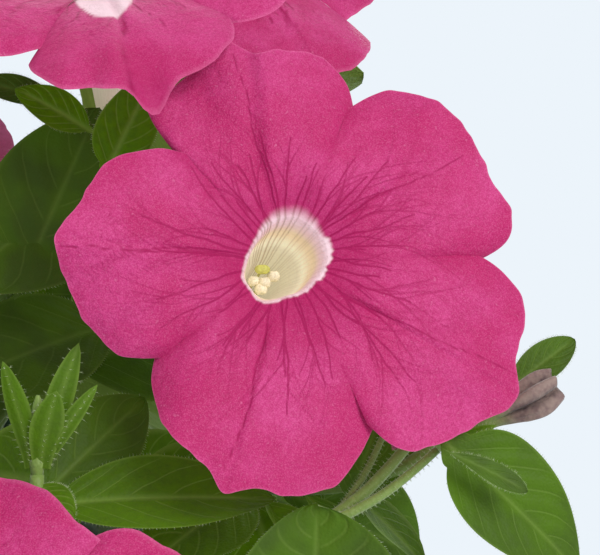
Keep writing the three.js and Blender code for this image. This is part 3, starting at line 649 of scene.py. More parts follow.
SHOOTS.append({
    "name": "shoot_faded", "axis": unit((0.91, 0, 0.41)), "leaves": 2, "sepals": False,
    "curve": np.array(((62, -38, -10), (86, -52, 36), (128, -76, 2), near_face(26, 16, -31))),
    "given": [
        (0.62, near_face(-25, 6, -49), 20, (0, -0.7, 0.7), 0.5),
        (0.6, near_face(4, -4, -70), 26, (0, -0.95, 0.3), 0.8),
        (0.66, near_face(25.4, 30, -53.6), 22, (0.1, -0.95, 0.1), 0.3),
        (0.7, near_face(14.2, 25, -26.5), 10, (0, -1, 0.1), 0.6),
        (0.92, near_face(50, 4, -58), 17.5, (0.25, -0.9, 0.35), 0.9),
        (0.95, near_face(41, -1, -37.5), 4, (0, -0.85, 0.5), 0.3),
        (0.9, near_face(53, 34, -9.5), 12, (0, -0.95, 0.3), 0.8),
    ]})
for number, place in enumerate(((-70, 70, 0.95), (66, 118, 1.02), (60, 24, 0.9))):
    end = on_mound(*place)
    axis = outward(end)
    SHOOTS.append({"name": f"shoot_leafy_{number + 1}", "axis": axis, "leaves": 9, "given": [],
                   "curve": curve_to(end, axis), "sepals": False})

# Leaves that look a little different from the solids: foot, tip, width, tone (freshness and painted shade),
# shape.
LEAF_LOOKS = {
    ("shoot_faded", 4): (near_face(25.8, 2, -29.2), near_face(52.4, 4, -51.8), 19.5, 0.3, 0.66),
    ("shoot_faded", 5): (near_face(25.5, -4, -30.5), near_face(41, -5, -37), 4.2, 0.0, 1.5),
    ("shoot_faded", 6): (near_face(38.5, 28, -23), near_face(52.4, 30, -12), 7.2, 0.2, 1.1),
}
# Smaller leaves that only the picture shows: shoot, foot, tip, width, tone (freshness and painted shade),
# shape.
SMALL_LEAVES = (
    ("shoot_02", near_face(-34.5, 24, 17), near_face(-25.5, 16, 34.5), 11, 1.0, 0.75),
    ("shoot_02", near_face(-36, 26, 25), near_face(-49.5, 22, 34), 8, 1.0, 0.9),
    ("shoot_02", near_face(-52, 34, -5.5), near_face(-36.5, 28, 29.5), 25, 0.1, 0.9),
    ("shoot_02", near_face(-34, 18, 18), near_face(-19, 10, 20), 4.5, 0.1, 0.9),
    ("shoot_02", near_face(-42.5, 28, 31), near_face(-58.5, 26, 36), 6, 0.0, 0.9),
    ("shoot_faded", near_face(10, 14, -42.5), near_face(15.5, 12, -27), 10, 0.25, 0.9),
    ("shoot_faded", near_face(9.5, 16, -43), near_face(21.5, 14, -31.5), 6, 0.5, 0.9),
    ("shoot_faded", near_face(3.5, -2, -61.5), near_face(5, -8, -41), 27, 0.15, 0.8),
)
SMALL_LEAF_FACING = unit((0.2, -0.9, 0.4))
# Thin hairy stems beside the faded flower's own: foot, tip, radius.
SIDE_STEMS = ((near_face(7, 6, -43.5), near_face(21.5, 8, -29.5), 1.2),
              (near_face(8, 4, -43.5), near_face(25.5, 6, -31.5), 0.95),
              (near_face(9, 8, -41.5), near_face(16.5, 10, -28.5), 0.7))

LEAF_TRIES = ((0, 1, 0.4), (24, 0.97, 0.6), (-24, 0.95, 0.25), (48, 0.9, 0.8), (-46, 0.85, 0.1),
              (75, 0.85, 0.5), (10, 0.8, 1), (-20, 0.75, -0.2), (110, 0.8, 0.4), (30, 0.65, 0.3))


def leaf_by_rule(curve, shoot, k, count, attempt):
    turn, size, rise = attempt
    t = mix(0.16, 0.97, (k + 0.3 + 0.5 * draw(shoot, k, 2)) / count)
    foot = on_stem(curve, t)
    forward = ahead_on(curve, t)
    face = outward(foot)
    side = unit(np.cross(forward, face)) * (1 if k % 2 else -1)
    spin = math.radians(turn + 24 * (draw(shoot, k, 3) - 0.5))
    along = unit(side * math.cos(spin) + forward * (0.55 + math.sin(spin)) + face * rise)
    length = LEAF_LENGTH * size * (0.82 + 0.3 * draw(shoot, k, 4))
    up = unit(face + (0, 0, 0.35) + side * 0.5 * (draw(shoot, k, 5) - 0.5))
    return foot, foot + along * length, up, LEAF_WIDTH * length / LEAF_LENGTH


def leaf_frame(foot, tip, facing):
    along = tip - foot
    length = np.linalg.norm(along)
    along = along / length
    side = unit(np.cross(along, facing))
    return along, side, unit(np.cross(side, along)), length


def leaves_of(number, shoot):
    """The leaves that the shoot's solid has: foot, tip, facing, width and tone (freshness and painted shade).
    """
    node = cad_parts[shoot["name"]]
    corners = np.array([tuple(v.co) for v in node.data.vertices]) * 1000 + (0, 0, HANGER_DROP)
    found = [(on_stem(shoot["curve"], t), np.asarray(tip, float), unit(facing), width, tone)
             for t, tip, width, facing, tone in shoot["given"]]
    for k in range(shoot["leaves"]):
        for attempt in LEAF_TRIES:
            foot, tip, up, width = leaf_by_rule(shoot["curve"], number, k, shoot["leaves"], attempt)
            along, _, face, length = leaf_frame(foot, tip, up)
            point = foot + along * length - face * LEAF_DROOP * length
            if np.min(np.linalg.norm(corners - point, axis=1)) < 0.05:
                found.append((foot, tip, up, width, 0.15 + 0.6 * draw(number, k, 9)))
                break
    return found


# ---- Petals -----------------------------------------------------------------------------------
def flower_frame(flower):
    axis = unit(flower["axis"])
    if flower.get("front"):
        right = np.array((1, -axis[0] / axis[1], 0))
        up = np.array((0, -axis[2] / axis[1], 1))
        return axis, right, up, np.array((0, 1 / axis[1], 0))
    right = np.cross((0, 0, 1), axis)
    right = unit(right) if np.linalg.norm(right) > 0.1 else np.array((1.0, 0, 0))
    return axis, right, np.cross(axis, right), axis


def seams_of(flower, index):
    """Angles and depths of the seams between the lobes, and of the creases down their middles."""
    if flower.get("front"):
        return FACE_SEAMS, FACE_CREASES
    rng = random.Random(500 + index)
    turns = flower.get("seams", [flower["turn"] + 72 * k for k in range(5)])
    seams = tuple((turn, rng.uniform(1.0, 2.6)) for turn in turns)
    middles = [(a + b) / 2 for a, b in zip(turns, list(turns[1:]) + [turns[0] + 360])]
    creases = tuple((middle + rng.uniform(-4, 4), rng.uniform(0.7, 1.2)) for middle in middles)
    return seams, creases


def lobe_edges(flower, index):
    """For each lobe, its edge as (angles, reaches) from seam to seam."""
    if flower.get("front"):
        outline = sorted((a - 360 if a > 358 else a, r) for a, r in FACE_OUTLINE)
        outline.append((outline[0][0] + 360, outline[0][1]))
        cuts = [a for a, _ in FACE_SEAMS] + [FACE_SEAMS[0][0] + 360]
        return [np.array([(a, r) for a, r in outline if low - 0.01 <= a <= high + 0.01]).T
                for low, high in zip(cuts, cuts[1:])]
    turns = [angle for angle, _ in seams_of(flower, index)[0]]
    turns.append(turns[0] + 360)
    edges = []
    for lobe in range(5):
        if lobe in flower.get("edges", {}):
            edges.append(np.array(flower["edges"][lobe]).T)
            continue
        size = FLOWER_RADIUS * (0.93 + 0.12 * draw(index, lobe, 1))
        after = FLOWER_RADIUS * (0.93 + 0.12 * draw(index, (lobe + 1) % 5, 1))
        shares = (0, 0.11, 0.25, 0.5, 0.75, 0.89, 1)
        reaches = [size * part for part in (1 - NOTCH, 0.9, 0.965, 1, 0.965, 0.9)] + [after * (1 - NOTCH)]
        edges.append(np.array([(mix(turns[lobe], turns[lobe + 1], x), r) for x, r in zip(shares, reaches)]).T)
    return edges


def mouth_of(flower, degrees):
    if not flower.get("front"):
        return np.full_like(np.asarray(degrees, float), MOUTH_RADIUS)
    return through(np.asarray(degrees) % 360, *zip(*FACE_MOUTH))


def limb_height(s, degrees, index):
    wave = (1.6 * np.sin(np.radians(3 * degrees + 97 * index))
            + 1.1 * np.sin(np.radians(5 * degrees + 41 * index)))
    return LIMB_RISE * (2.1 * s - 1.75 * s * s) + wave * s * s


def petal_relief(s, degrees, radius, flower, seams, creases, index):
    """What the petals add to the plain limb: seam valleys, creases, folds and a ruffled edge."""
    height = np.zeros_like(s)
    for k, (angle, depth) in enumerate(seams):
        before, after = creases[k - 1][0], creases[k][0]
        away = apart(degrees, angle)
        half = np.where(away < 0, (angle - before) % 360, (after - angle) % 360)
        inside = np.clip(1 - np.abs(away) / half, 0, 1)
        height -= depth * inside ** 1.4 * smooth(s * 1.5) * (0.5 + 0.5 * s)
    for angle, depth in creases:
        across = radius * np.sin(np.radians(np.clip(apart(degrees, angle), -90, 90)))
        groove = 0.7 * np.exp(-(across / 0.6) ** 2) - 0.5 * np.exp(-((across - 1.6) / 1.6) ** 2)
        height -= depth * groove * smooth(s * 4) * (1 - 0.5 * s)
    rng = random.Random(40 + index)
    for cycles, size in ((7, 0.5), (11, 0.45), (17, 0.22), (26, 0.08)):
        phase = rng.uniform(0, 6.28)
        twist = rng.uniform(-1.2, 1.2)
        height += size * np.sin(np.radians(degrees) * cycles + phase + twist * s) * s ** 3
    pleats = rng.uniform(0, 6.28)
    height += 0.12 * np.sin(np.radians(degrees) * 30 + pleats) * smooth(s * 6) * np.exp(-3.5 * s)
    for angle, width, depth, power in flower.get("bends", ()):
        height -= depth * np.exp(-(apart(degrees, angle) / width) ** 2) * s ** power
    if flower.get("front"):
        # The sharp fold left of the middle of the top lobe, and the lobe's flat right half.
        crease = 98 + 5.5 * np.exp(-(s / 0.2) ** 2)
        across = -radius * np.radians(apart(degrees, crease))
        ramp = smooth((across + 3.4) / 3.6) * np.exp(-(np.maximum(across, 0) / 15) ** 2)
        height += 1.4 * (ramp - 0.2 * np.exp(-((across + 4.5) / 3) ** 2)) * smooth(s * 2.2)
        # The right lobes cup a little, and the tip of the upper one turns back.
        height += 1.2 * np.exp(-(apart(degrees, 327) / 26) ** 2) * np.sin(np.pi * np.clip(s, 0, 1)) ** 2
        tip = np.exp(-(apart(degrees, 30) / 15) ** 2)
        height -= 1.5 * tip * smooth((s - 0.72) / 0.28)
    return height


def apart(degrees, angle):
    """Signed angle from one bearing to another, within half a turn."""
    return (degrees - angle + 180) % 360 - 180


# A lobe's main vein runs almost to the edge. The top lobe's lies right of its middle, on the sharp fold.
MAIN_VEIN_REACH, TOP_LOBE, TOP_VEIN_NUDGE = 0.97, 1, -6


def vein_lines(seams, creases, edges, index, fine):
    """Polylines of branching veins in polar form: angle, radius, strength."""
    rng = random.Random(900 + index)
    lines = []
    for lobe in range(5):
        low = seams[lobe][0]
        high = seams[(lobe + 1) % 5][0] + (360 if lobe == 4 else 0)
        middle = creases[lobe][0]
        angles, reaches = edges[lobe]
        count = 4
        grow = [(middle, MOUTH_RADIUS - 3, 0.0, 0.72, MAIN_VEIN_REACH, 0)]
        for k in range(count):
            for limit in (low, high):
                share = (k + 0.5 + 0.4 * rng.random()) / count
                start = middle + (limit - middle) * share * 0.86
                grow.append((start, MOUTH_RADIUS - 3, (limit - middle) * 0.012 * share,
                             0.95 - 0.2 * share, rng.uniform(0.42, 0.8) - 0.12 * share, 0))
        while grow:
            at, radius, fan, strength, end, age = grow.pop()
            line, heading = [], 0.0
            is_main = end == MAIN_VEIN_REACH
            nudge = TOP_VEIN_NUDGE if lobe == TOP_LOBE and is_main else 0
            fade = 0.3 if is_main else 0.62
            reach = float(through(min(max(at, angles[0]), angles[-1]), angles, reaches))
            while radius < end * reach:
                line.append((at + nudge, radius, strength * (1 - fade * radius / reach)))
                heading = 0.7 * heading + rng.uniform(-1, 1) * 8
                at += (heading + fan * radius) / max(radius, 6)
                radius += 0.9
                split = 0.2 if fine else 0.1
                if age < 3 and radius > 9 and rng.random() < split:
                    lean = rng.choice((-1, 1)) * rng.uniform(0.4, 1.5)
                    stretch = radius / reach + rng.uniform(0.12, 0.32)
                    grow.append((at, radius, lean, strength * 0.78, min(stretch, 0.9), age + 1))
            if len(line) > 2:
                lines.append(line)
    return lines


def vein_mask(x, y, lines, width):
    """How strongly each point lies on a vein."""
    mask = np.zeros(len(x))
    spots = np.column_stack((x, y))
    order = np.argsort(x)
    across = x[order]
    for line in lines:
        a, r, power = (np.array(part) for part in zip(*line))
        a = np.radians(a)
        corners = np.column_stack((r * np.cos(a), r * np.sin(a)))
        low, high = corners.min(0) - 0.8, corners.max(0) + 0.8
        near = order[np.searchsorted(across, low[0]):np.searchsorted(across, high[0])]
        near = near[(y[near] > low[1]) & (y[near] < high[1])]
        for k in range(len(corners) - 1):
            a0, a1 = corners[k], corners[k + 1]
            part = near[(np.abs(x[near] - a0[0]) < 1.7) & (np.abs(y[near] - a0[1]) < 1.7)]
            step = a1 - a0
            t = np.clip(((spots[part] - a0) @ step) / step.dot(step), 0, 1)
            gap = np.linalg.norm(spots[part] - a0 - t[:, None] * step, axis=1)
            spread = width * (0.6 + 0.5 * power[k])
            mask[part] = np.maximum(mask[part], power[k] * np.exp(-(gap / spread) ** 2))
    return mask


# Which neighbour lies in front at each seam: +1 is the lobe after the seam.
OVER_FACE = (-1, -1, 1, -1, 1)
# The inside of the flower tube: distance behind the mouth, radius.
TUBE_PROFILE = ((0.7, 7.5), (2.2, 7.1), (5, 6.3), (9, 5.2), (15, 3.6), (22, 2.8), (TUBE_LENGTH, 2.0))


def lobe_angles(edge, across):
    """Angles across a lobe, closer together near its seams."""
    u = np.linspace(0, 1, across)
    u = 0.65 * u - 0.175 * np.cos(np.pi * u)
    u = (u - u[0]) / (u[-1] - u[0])
    return mix(edge[0][0], edge[0][-1], u)


def make_corolla(flower, index, across, along, fine):
    """One fused corolla: a tube and five lobes whose free edges overlap a little."""
    axis, right, up, out = flower_frame(flower)
    seams, creases = seams_of(flower, index)
    edges = lobe_edges(flower, index)
    lines = vein_lines(seams, creases, edges, index, fine)
    rng = random.Random(70 + index)
    over = OVER_FACE if flower.get("front") else tuple(rng.choice((-1, 1)) for _ in range(5))
    work = Patchwork("vein", "throat", "depth", "rim", "shade", "bearing", "reach")
    steps = np.linspace(0, 1, along) ** 1.1

    def with_phases(terms):
        return [(n, rng.uniform(0, 6.28), size) for n, size in terms]

    def waves(degrees, terms):
        return sum(size * np.sin(np.radians(degrees) * n + phase) for n, phase, size in terms)

    jag = with_phases(((9, 0.14), (14, 0.14), (26, 0.1), (43, 0.07)))
    ruffle = with_phases(((19, 0.003), (31, 0.003), (52, 0.002), (83, 0.001)))
    for lobe in range(5):
        angles, reaches = edges[lobe]
        base = lobe_angles(edges[lobe], across)
        low, high = base[0], base[-1]
        reach = through(base, angles, reaches) * (1 + waves(base, ruffle))
        s, degrees = np.meshgrid(steps, base, indexing="ij")
        mouth = mouth_of(flower, degrees)
        radius = mix(mouth, np.broadcast_to(reach, s.shape), s)
        height = (limb_height(s, degrees, index)
                  + petal_relief(s, degrees, radius, flower, seams, creases, index))
        shown = degrees.copy()
        for side, seam, notch in ((-1, lobe, reaches[0]), (1, (lobe + 1) % 5, reaches[-1])):
            end = low if side < 0 else high
            free = smooth((radius - 0.76 * notch) / (0.24 * notch))
            close = np.exp(-((degrees - end) * np.radians(1) * radius / 4.0) ** 2)
            front = 1 if over[seam] == -side else -1
            height = height + front * 0.7 * free * close
            shown = shown + side * (0.8 if front > 0 else 2.2) * free * close
        x = radius * np.cos(np.radians(shown))
        y = radius * np.sin(np.radians(shown))
        if flower.get("front"):
            x, y = x + FACE_LEAN[0] * s, y + FACE_LEAN[1] * s
        points = (flower["at"] + x[..., None] * right + y[..., None] * up + height[..., None] * out)
        vein = vein_mask(x.reshape(-1), y.reshape(-1), lines, 0.21 if fine else 0.32).reshape(x.shape)
        if flower.get("front"):
            ragged = 0.4 + 0.9 * np.exp(-(apart(degrees, 0) / 50) ** 2)
            pale = through(degrees % 360, *zip(*FACE_PALE)) + waves(degrees, jag) * ragged
            blend = mix(0.5, 3.4, np.exp(-(apart(degrees, 80) / 42) ** 2))
        else:
            pale = mouth + 0.7 + waves(degrees, jag)
            blend = 1.4
        if "pale" in flower:
            angle, width, depth = flower["pale"]
            pale = pale + depth * np.exp(-(apart(degrees, angle) / width) ** 2)
        throat = np.clip(1 - smooth((radius - pale + 0.6 * blend) / blend), 0, 1)
        vein = vein * (1 - 0.85 * throat * (1 - np.exp(-(apart(degrees, 115) / 50) ** 2)))
        rim = smooth((s - 0.988) / 0.012)
        # Painted shade along the seams, where the petals fold into valleys.
        shade = np.zeros_like(s)
        for angle, depth in seams:
            away = np.abs(apart(degrees, angle)) * np.radians(1) * radius
            shade = np.maximum(shade, min(0.36 * depth, 0.8) * np.exp(-(away / (0.6 + 0.3 * depth)) ** 2)
                               * smooth((s - 0.08) * 3))
        # Painted shade on the part of the lobe that folds down and turns away from the light.
        if "shaded_fold" in flower:
            angle, width = flower["shaded_fold"]
            shaded_fold = 1.2 * np.exp(-(apart(degrees, angle) / width) ** 2) * smooth((s - 0.6) * 3)
            shade = np.maximum(shade, shaded_fold)
        work.grid(points[::-1], 0, vein=vein[::-1], throat=throat[::-1], rim=rim[::-1], shade=shade[::-1],
                  bearing=degrees[::-1], reach=radius[::-1])
    # The tube, from the mouth back, with the same angles as the lobes' first rows.
    turn = np.concatenate([lobe_angles(edge, across)[:-1] for edge in edges])
    mouth = mouth_of(flower, turn)
    backs = np.concatenate((np.linspace(0, 11, 11 if fine else 6), np.linspace(14, TUBE_LENGTH, 5)))
    true_right, true_up = unit(right - axis * right.dot(axis)), unit(up - axis * up.dot(axis))
    rings, veins = [], []
    for back in backs:
        plain = float(through(back, (0.0,) + tuple(b for b, _ in TUBE_PROFILE),
                              (MOUTH_RADIUS,) + tuple(r for _, r in TUBE_PROFILE)))
        wide = plain + (mouth - MOUTH_RADIUS) * (1 - smooth(back / 9))
        x, y = wide * np.cos(np.radians(turn)), wide * np.sin(np.radians(turn))
        flat = x[:, None] * right + y[:, None] * up
        turned_in = x[:, None] * true_right + y[:, None] * true_up
        rings.append(flower["at"] + mix(flat, turned_in, smooth(back / 3)) - axis * back)
        near = 7.0 - 1.8 * min(back / 11, 1)
        plain = vein_mask(np.cos(np.radians(turn)) * near, np.sin(np.radians(turn)) * near, lines, 0.16)
        veins.append(plain * (0.2 + 0.8 * np.exp(-(apart(turn, 115) / 55) ** 2)))
    depth = np.broadcast_to(smooth(backs / 12)[:, None], (len(backs), len(turn)))
    work.grid(np.array(rings), 0, closed=True, vein=np.array(veins), throat=1.0, depth=depth,
              bearing=turn[None, :], reach=4.0)
    return work


# ---- Leaves, stems, sepals and hairs ----------------------------------------------------------
# A plain leaf's power, which leaf_half explains, and the number of side veins on each side of a leaf.
LEAF_POWER, LEAF_VEINS = 0.9, 5.5


def leaf_half(s, power):
    """Half width of a leaf along its length. A larger power moves the widest place towards the tip."""
    blade = np.maximum(s - LEAF_STALK, 0.015) / (1 - LEAF_STALK)
    half = np.sin(np.pi * np.clip(blade ** power, 0, 1)) ** (0.7 if power == LEAF_POWER else 0.6)
    return half * smooth(0.12 + 9 * s)


def add_leaf(work, foot, tip, facing, width, tone, seed, rows, columns, power=LEAF_POWER):
    """A leaf blade with a folded middle, a drooping tip and swellings between its side veins."""
    along, side, face, length = leaf_frame(foot, tip, facing)
    rng = random.Random(seed)
    s, q = np.meshgrid(np.linspace(0, 1, rows), np.linspace(-1, 1, columns), indexing="ij")
    half = width / 2 * leaf_half(s, power)
    across = q * half
    phase, lean = rng.uniform(0, 6.28), rng.uniform(-0.6, 0.6)
    rise = LEAF_FOLD * (np.sqrt(across ** 2 + 1.2) - 1.1) - LEAF_DROOP * length * s * s
    rise -= 0.35 * np.exp(-(across / 0.8) ** 2) * smooth(s * 5) * (1 - s)
    t = (s - 0.34 * np.abs(q) ** 1.25 - LEAF_STALK) / (1 - LEAF_STALK) * LEAF_VEINS
    swell = smooth((np.abs(q) - 0.05) * 6) * smooth((1 - np.abs(q)) * 4) * smooth((s - 0.12) * 9)
    rise += width / LEAF_WIDTH * (-0.22 * np.cos(2 * np.pi * (t + 0.45 * (q > 0))) * swell
                                  + 0.9 * np.sin(5.2 * s + phase) * q ** 2 * s + lean * q * s * 1.5
                                  + 0.35 * np.sin(13 * s + phase * 2) * np.abs(q) ** 3)
    rib = np.exp(-(across / (0.3 + 0.35 * (1 - s))) ** 2)
    points = (foot + along * (length * s)[..., None] + side * across[..., None] + face * rise[..., None])
    rim = smooth((np.abs(q) - 0.94) / 0.06)
    work.grid(points, 0, vein=rib * smooth((1 - s) * 5), tone=tone, rim=rim, along=t, side=q,
              spacing=length / LEAF_VEINS)
    return points


def add_hairs(work, roots, ways, length, seed):
    """Short, tapering, three-sided hairs."""
    rng = random.Random(seed)
    points, faces = [], []
    for k, (root, way) in enumerate(zip(roots, ways)):
        way = unit(np.asarray(way) + [rng.uniform(-0.35, 0.35) for _ in range(3)])
        across = unit(np.cross(way, (0.3, 0.9, 0.2)))
        other = np.cross(way, across)
        long = length * rng.uniform(0.55, 1.2)
        for turn in (0, 2.094, 4.189):
            points.append(root + 0.026 * (across * math.cos(turn) + other * math.sin(turn)))
        points.append(root + way * long)
        a, b, c, top = range(4 * k, 4 * k + 4)
        faces += [(a, b, top), (b, c, top), (c, a, top)]
    if points:
        work.add(np.array(points), np.array(faces), 2)


def add_stem(work, shoot, seed):
    """The shoot's stem from its root in the soil to its end, with its hairs."""
    curve = shoot["curve"]
    t = np.linspace(0, 1, 34)
    path = np.vstack(((curve[0][0], curve[0][1], SOIL_TOP - HOLE_DEPTH + 2), along_curve(curve, t)))
    radii = np.concatenate(([STEM_ROOT], mix(STEM_ROOT, STEM_TIP, t)))
    if shoot["name"].startswith("shoot_leafy"):
        radii[-3:] *= (0.85, 0.6, 0.3)
    tone = 0.15 + 0.5 * np.concatenate(([0], t))[:, None] * np.ones((1, 10))
    rings = rings_along(path, radii, 10)
    work.grid(np.concatenate((rings, [[path[-1]] * 10])), 1, closed=True,
              tone=np.vstack((tone, tone[-1:])))
    rng = random.Random(seed)
    roots, ways = [], []
    for _ in range(STEM_HAIRS):
        where = rng.uniform(0.25, 1)
        k = min(int(where * 33) + 1, 33)
        side = rng.randrange(10)
        way = rings[k][side] - path[k]
        roots.append(mix(rings[k][side], rings[k + 1 if k < 33 else k][side], rng.random()))
        ways.append(way)
    add_hairs(work, roots, ways, 1.1, seed)


def add_sepal(work, foot, tip, outside, width, seed, bow=None):
    """A narrow green sepal, hairy on its edges and back. One with a bow is blunt and curves that way."""
    along, side, face, length = leaf_frame(foot, tip, outside)
    s, q = np.meshgrid(np.linspace(0, 1, 15), np.linspace(-1, 1, 7), indexing="ij")
    if bow is not None:
        half = width / 2 * (0.5 + 0.5 * np.sin(np.pi * s ** 1.2)) * np.sqrt(1 - s ** 6)
    else:
        half = width / 2 * (0.5 * (1 - s) ** 0.4 + np.sin(np.pi * s ** 1.05) ** 0.7 * 0.6) * (1 - s ** 8)
    across = q * half
    rise = 0.07 * length * np.sin(np.pi * s * 0.9) + 0.1 * np.abs(across) * -1.5 + 0.05 * length * s ** 3
    points = (foot + along * (length * s)[..., None] + side * across[..., None] + face * rise[..., None])
    if bow is not None:
        points += np.sin(np.pi * s ** 0.8)[..., None] * bow
    rib = np.exp(-(across / 0.35) ** 2)
    rim = smooth((np.abs(q) - 0.8) / 0.2)
    work.grid(points, 0, vein=0.7 * rib, tone=0.75 if bow is None else 0.5, rim=rim)
    rng = random.Random(seed)
    roots, ways = [], []
    for _ in range(SEPAL_HAIRS):
        k, edge = rng.randrange(1, 14), rng.choice((0, 6, 3))
        roots.append(points[k, edge])
        ways.append(side * (edge - 3) / 3 * 1.0 + face * 0.7 + along * 0.3)
    add_hairs(work, roots, ways, 0.95, seed + 1)


def add_calyx(work, shoot, seed):
    """The knob under a flower and its five sepals, held clear of the flower tube."""
    end, axis = shoot["curve"][3], shoot["axis"]
    across, other = square_to(axis)
    ahead = np.array((-1.6, -0.6, 0.4, 1.4, 2.4, 3.0))
    radii = np.array((1.25, 1.5, 2.3, 3.1, 3.7, 3.9))
    rings = rings_along(end + axis * ahead[:, None], radii, 16)
    cup = rings_along(end + axis * np.array((3.0, 2.6))[:, None], (3.3, 0.2), 16)
    work.grid(np.concatenate((rings, cup)), 1, closed=True, tone=0.5)
    rim = end + axis * KNOB_LENGTH
    for k in range(5):
        turn = 2 * math.pi * k / 5 + draw(seed, k, 11)
        away = across * math.cos(turn) + other * math.sin(turn)
        foot = rim + away * 3.35 - axis * 0.6
        along = axis * math.cos(SEPAL_SPREAD) + away * math.sin(SEPAL_SPREAD)
        length = SEPAL_LENGTH * (0.9 + 0.2 * draw(seed, k, 12))
        add_sepal(work, foot, foot + along * length, away, SEPAL_WIDTH, seed * 10 + k)


# Sepals of the shut bud: how far the tip stands from the foot (right, back, up), and the width.
BUD_SEPALS = (((-5.3, -1.5, 18.7), 4.3), ((6.7, 1.5, 21.6), 4.9), ((10.4, -1.5, 14.8), 3.1),
              ((3.6, -3.4, 13.8), 5.8), ((-3.4, 1.5, 15), 3.2))


def add_knob(work, shoot, radii):
    """The small swelling at the end of a shoot."""
    ahead = np.array((-1.5, -0.2, 1.0, 2.2, 3.0))
    rings = rings_along(shoot["curve"][3] + shoot["axis"] * ahead[:, None], radii, 16)
    work.grid(rings, 1, closed=True, tone=0.5)


def add_bud(work, shoot):
    """The shut bud, pleated, between its five sepals."""
    end, axis = shoot["curve"][3], shoot["axis"]
    add_knob(work, shoot, (0.9, 1.0, 1.2, 1.4, 0.9))
    ahead = np.linspace(1.5, 13.8, 18)
    turn = np.linspace(0, 2 * np.pi, 30, endpoint=False)
    middle = end + axis * ahead[:, None]
    wide = through(ahead, (1.5, 5, 9, 12, 13.8), (1.0, 1.0, 1.1, 1.0, 0.3))
    body = rings_along(middle, wide, 30)
    pleat = 1 - 0.13 * np.abs(np.sin(2.5 * turn))[None, :, None] * smooth(ahead / 8)[:, None, None]
    work.grid(middle[:, None] + (body - middle[:, None]) * pleat, 1, closed=True, tone=0.9)
    for k, (way, width) in enumerate(BUD_SEPALS):
        way = np.array(way)
        flat = unit(way * (1, 1, 0) + (0, 0, 1e-6))
        foot = end + axis * 1.2 + flat * 1.2
        outside = 0.3 * flat + (0, -1, 0.1)
        add_sepal(work, foot, end + way + axis, outside, width, 7000 + k, -0.8 * flat)


def add_young_leaves(work, number, shoot):
    """Small leaves between the large ones, which fill the middle of the plant."""
    curve = shoot["curve"]
    for k in range(YOUNG_LEAVES):
        t = 0.1 + 0.085 * k + 0.03 * draw(number, k, 21)
        foot = along_curve(curve, t)
        forward = ahead_on(curve, t)
        face = outward(foot)
        turn = 2 * math.pi * draw(number, k, 22)
        across = unit(np.cross(forward, face + (0.01, 0.02, 0)))
        spun = across * math.cos(turn) + np.cross(forward, across) * math.sin(turn)
        way = unit(spun + forward * 0.7 + face * 0.5)
        length = 13 + 13 * draw(number, k, 23)
        tip = foot + way * length
        if in_bare_space(tip) or in_bare_space(foot) or tip[2] < -10 and t < 0.5:
            continue
        add_leaf(work, foot, tip, unit(face + (0, 0, 0.5)), 0.56 * length, 0.3 + 0.6 * draw(number, k, 24),
                 number * 100 + k, 14, 9)


# Boxes that the picture shows without young leaves: the low and the high corner.
BARE_SPACES = ((near_face(-58, -200, -70), near_face(60, 2, 58)),
               (near_face(40, -200, -74), near_face(200, 70, 90)),
               (near_face(10, -200, 26), near_face(200, 70, 120)))


def in_bare_space(p):
    return any((low < p).all() and (p < high).all() for low, high in BARE_SPACES)


# ---- Settings ---------------------------------------------------------------------------------
def colour_property(name, description, default):
    return bpy.props.FloatVectorProperty(name=name, description=description, subtype="COLOR", size=4,
                                         min=0, max=1, default=linear(default))


class PetuniaPlantSettings(bpy.types.PropertyGroup):
    petal_colour: colour_property("Petal", "Main colour of the petals", (188, 36, 102))
    petal_light: colour_property("Light petal", "Lighter cloud on the petals", (204, 62, 128))
    # The dark petal colour is also painted shade along the seams between the lobes and on folds.
    petal_dark: colour_property("Dark petal", "Darker mottling of the petals", (166, 8, 82))
    petal_pale: colour_property("Pale petal", "Specks, edge and back of the petals", (232, 130, 172))
    vein_colour: colour_property("Petal vein", "Veins of the petals", (156, 0, 76))
    throat_colour: colour_property("Throat", "Pale ring round the mouth", (244, 212, 218))
    throat_warm: colour_property("Warm throat", "Just inside the mouth", (236, 218, 184))
    throat_deep: colour_property("Deep throat", "Inside of the flower tube", (230, 228, 204))
    # The throat vein colour also paints the shade deep in the flower tube.
    throat_vein_and_shade: colour_property("Throat vein", "Veins in the pale throat", (128, 96, 52))
    anther_colour: colour_property("Anther", "Anthers", (246, 236, 208))
    stigma_colour: colour_property("Stigma", "Stigma", (204, 204, 104))
    leaf_dark: colour_property("Dark leaf", "Old and shaded leaves", (58, 77, 26))
    leaf_fresh: colour_property("Fresh leaf", "Young leaves in light", (84, 122, 0))
    leaf_pale: colour_property("Leaf vein", "Veins, edges and backs of leaves", (140, 164, 80))
    stem_colour: colour_property("Stem", "Stems", (120, 148, 64))
    hair_colour: colour_property("Hair", "Short hairs on stems and leaves", (226, 232, 206))
    faded_colour: colour_property("Faded petal", "The faded flower", (126, 100, 96))
    # The faded fold colour is painted shade in the folds and inside the mouth.
    faded_fold_shade: colour_property("Faded dark", "Folds of the faded flower", (58, 38, 46))
    faded_light: colour_property("Faded light", "Dry patches of the faded flower", (172, 148, 134))


class PetuniaBasketSettings(bpy.types.PropertyGroup):
    pot_colour: colour_property("Pot", "Plastic of the pot and hanger", (38, 60, 46))
    pot_light: colour_property("Worn plastic", "Lighter, worn plastic", (56, 82, 64))
    dust_colour: colour_property("Dust", "Dry soil dust on the plastic", (120, 112, 96))
    soil_colour: colour_property("Soil", "Potting soil", (74, 54, 40))
    soil_dark: colour_property("Damp soil", "Damp potting soil", (34, 24, 18))
    grit_colour: colour_property("Grit", "White grit in the soil", (214, 210, 200))


